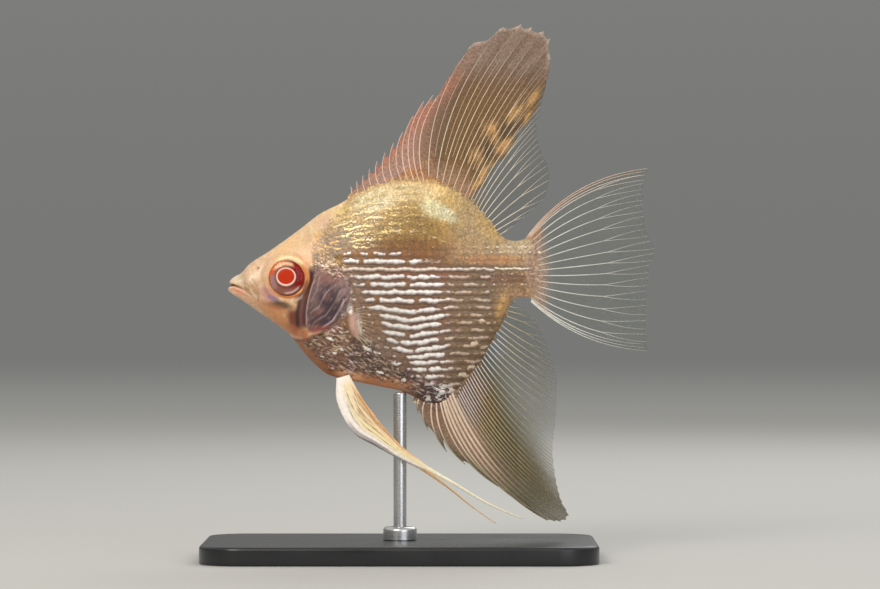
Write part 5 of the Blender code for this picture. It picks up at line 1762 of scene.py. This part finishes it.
class AngelfishStageSettings(bpy.types.PropertyGroup):
    """Floor, dome, lights and camera"""
    floor_reach: length("Floor radius", "Radius of the round floor", 40)
    horizon_colour: bpy.props.StringProperty(
        name="Horizon", description="Colour of the dome at the horizon, as sRGB hex", default="#7B7C7A")
    dome_colour: bpy.props.StringProperty(
        name="Dome", description="Colour of the dome overhead, as sRGB hex", default="#E8E7E4")
    dome_strength: bpy.props.FloatProperty(
        name="Dome strength", description="Brightness of the dome", default=0.95)
    key_power: bpy.props.FloatProperty(
        name="Key light", description="Power of the key light", default=4.2, unit="POWER")
    fill_power: bpy.props.FloatProperty(
        name="Fill light", description="Power of the fill light", default=2.5, unit="POWER")
    back_power: bpy.props.FloatProperty(
        name="Back light", description="Power of the back light", default=1.6, unit="POWER")
    camera_distance: length("Camera distance", "From the camera to the fish's midplane", 0.9)
    view_width: length("View width", "Width that the camera sees at the fish", 0.1881)
    aim_x: length("Aim along", "How far behind the stand's middle the camera aims", 0.00855)
    aim_z: length("Aim height", "Height of the camera and its aim", 0.0565)


class ANGELFISH_OT_skin(bpy.types.Operator):
    """Build the skin of the body"""
    bl_idname = "angelfish.skin"
    bl_label = "Skin"

    def execute(self, context):
        build_skin(context.scene.angelfish_body)
        return {"FINISHED"}


class ANGELFISH_OT_scales(bpy.types.Operator):
    """Lay the scales over both flanks"""
    bl_idname = "angelfish.scales"
    bl_label = "Scales"

    def execute(self, context):
        build_all_scales(context.scene.angelfish_body)
        return {"FINISHED"}


class ANGELFISH_OT_eyes(bpy.types.Operator):
    """Build both eyes"""
    bl_idname = "angelfish.eyes"
    bl_label = "Eyes"

    def execute(self, context):
        iris = painted_material("painted_iris", 0.35, 0.9, 1.08, {"Roughness": 0.4, "IOR": 1.2})
        cornea = cornea_material()
        for side in SIDE_NAMES:
            build_eye(side, iris, cornea)
        return {"FINISHED"}


class ANGELFISH_OT_midline_fins(bpy.types.Operator):
    """Build the dorsal, anal and tail fin"""
    bl_idname = "angelfish.midline_fins"
    bl_label = "Midline fins"

    def execute(self, context):
        build_midline_fins(context.scene.angelfish_fins)
        return {"FINISHED"}


class ANGELFISH_OT_paired_fins(bpy.types.Operator):
    """Build the pelvic and pectoral fins"""
    bl_idname = "angelfish.paired_fins"
    bl_label = "Paired fins"

    def execute(self, context):
        ribbed = painted_material("ribbed_pelvic_skin", 0.8, 0.88, 1.1, {
            "Roughness": 0.36, "IOR": 1.45, "Coat Weight": 0.3, "Coat Roughness": 0.2})
        build_pelvic(LEFT, PELVIC_LEFT, ribbed)
        build_pelvic(RIGHT, PELVIC_RIGHT, ribbed)
        film, horn = membrane_material(), ray_material()
        for side in SIDE_NAMES:
            build_pectoral(side, film, horn)
        return {"FINISHED"}


class ANGELFISH_OT_stand(bpy.types.Operator):
    """Build the display stand"""
    bl_idname = "angelfish.stand"
    bl_label = "Stand"

    def execute(self, context):
        build_stand(context.scene.angelfish_stand)
        return {"FINISHED"}


class ANGELFISH_OT_stage(bpy.types.Operator):
    """Add the floor, lights and camera"""
    bl_idname = "angelfish.stage"
    bl_label = "Stage"

    def execute(self, context):
        build_stage(context.scene.angelfish_stage)
        return {"FINISHED"}


OPERATORS = (ANGELFISH_OT_stage, ANGELFISH_OT_skin, ANGELFISH_OT_scales, ANGELFISH_OT_eyes,
        ANGELFISH_OT_midline_fins, ANGELFISH_OT_paired_fins, ANGELFISH_OT_stand)
SETTINGS = {"angelfish_body": AngelfishBodySettings, "angelfish_fins": AngelfishFinSettings,
        "angelfish_stand": AngelfishStandSettings, "angelfish_stage": AngelfishStageSettings}


class ANGELFISH_PT_panel(bpy.types.Panel):
    """Lists the model's settings and build steps"""
    bl_idname = "ANGELFISH_PT_panel"
    bl_label = "Angelfish"
    bl_space_type = "VIEW_3D"
    bl_region_type = "UI"
    bl_category = "Angelfish"

    def draw(self, context):
        """One button for each step, and a box for each group of settings."""
        for operator in OPERATORS:
            self.layout.operator(operator.bl_idname)
        for name, group in SETTINGS.items():
            box = self.layout.box()
            for field in group.__annotations__:
                box.prop(getattr(context.scene, name), field)


def register():
    """Make the settings, operators and panel known."""
    for group in SETTINGS.values():
        bpy.utils.register_class(group)
    for name, group in SETTINGS.items():
        setattr(bpy.types.Scene, name, bpy.props.PointerProperty(type=group))
    for operator in OPERATORS:
        bpy.utils.register_class(operator)
    bpy.utils.register_class(ANGELFISH_PT_panel)


def unregister():
    """Take them away again, in the opposite order."""
    bpy.utils.unregister_class(ANGELFISH_PT_panel)
    for operator in reversed(OPERATORS):
        bpy.utils.unregister_class(operator)
    for name in SETTINGS:
        delattr(bpy.types.Scene, name)
    for group in SETTINGS.values():
        bpy.utils.unregister_class(group)


def main():
    """Build everything in order and note the sizes of the solids and of the finished model."""
    register()
    bpy.ops.angelfish.stage()
    bpy.ops.angelfish.skin()
    bpy.ops.angelfish.scales()
    bpy.ops.angelfish.eyes()
    bpy.ops.angelfish.midline_fins()
    bpy.ops.angelfish.paired_fins()
    bpy.ops.angelfish.stand()
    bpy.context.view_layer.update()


if __name__ == "__main__":
    main()
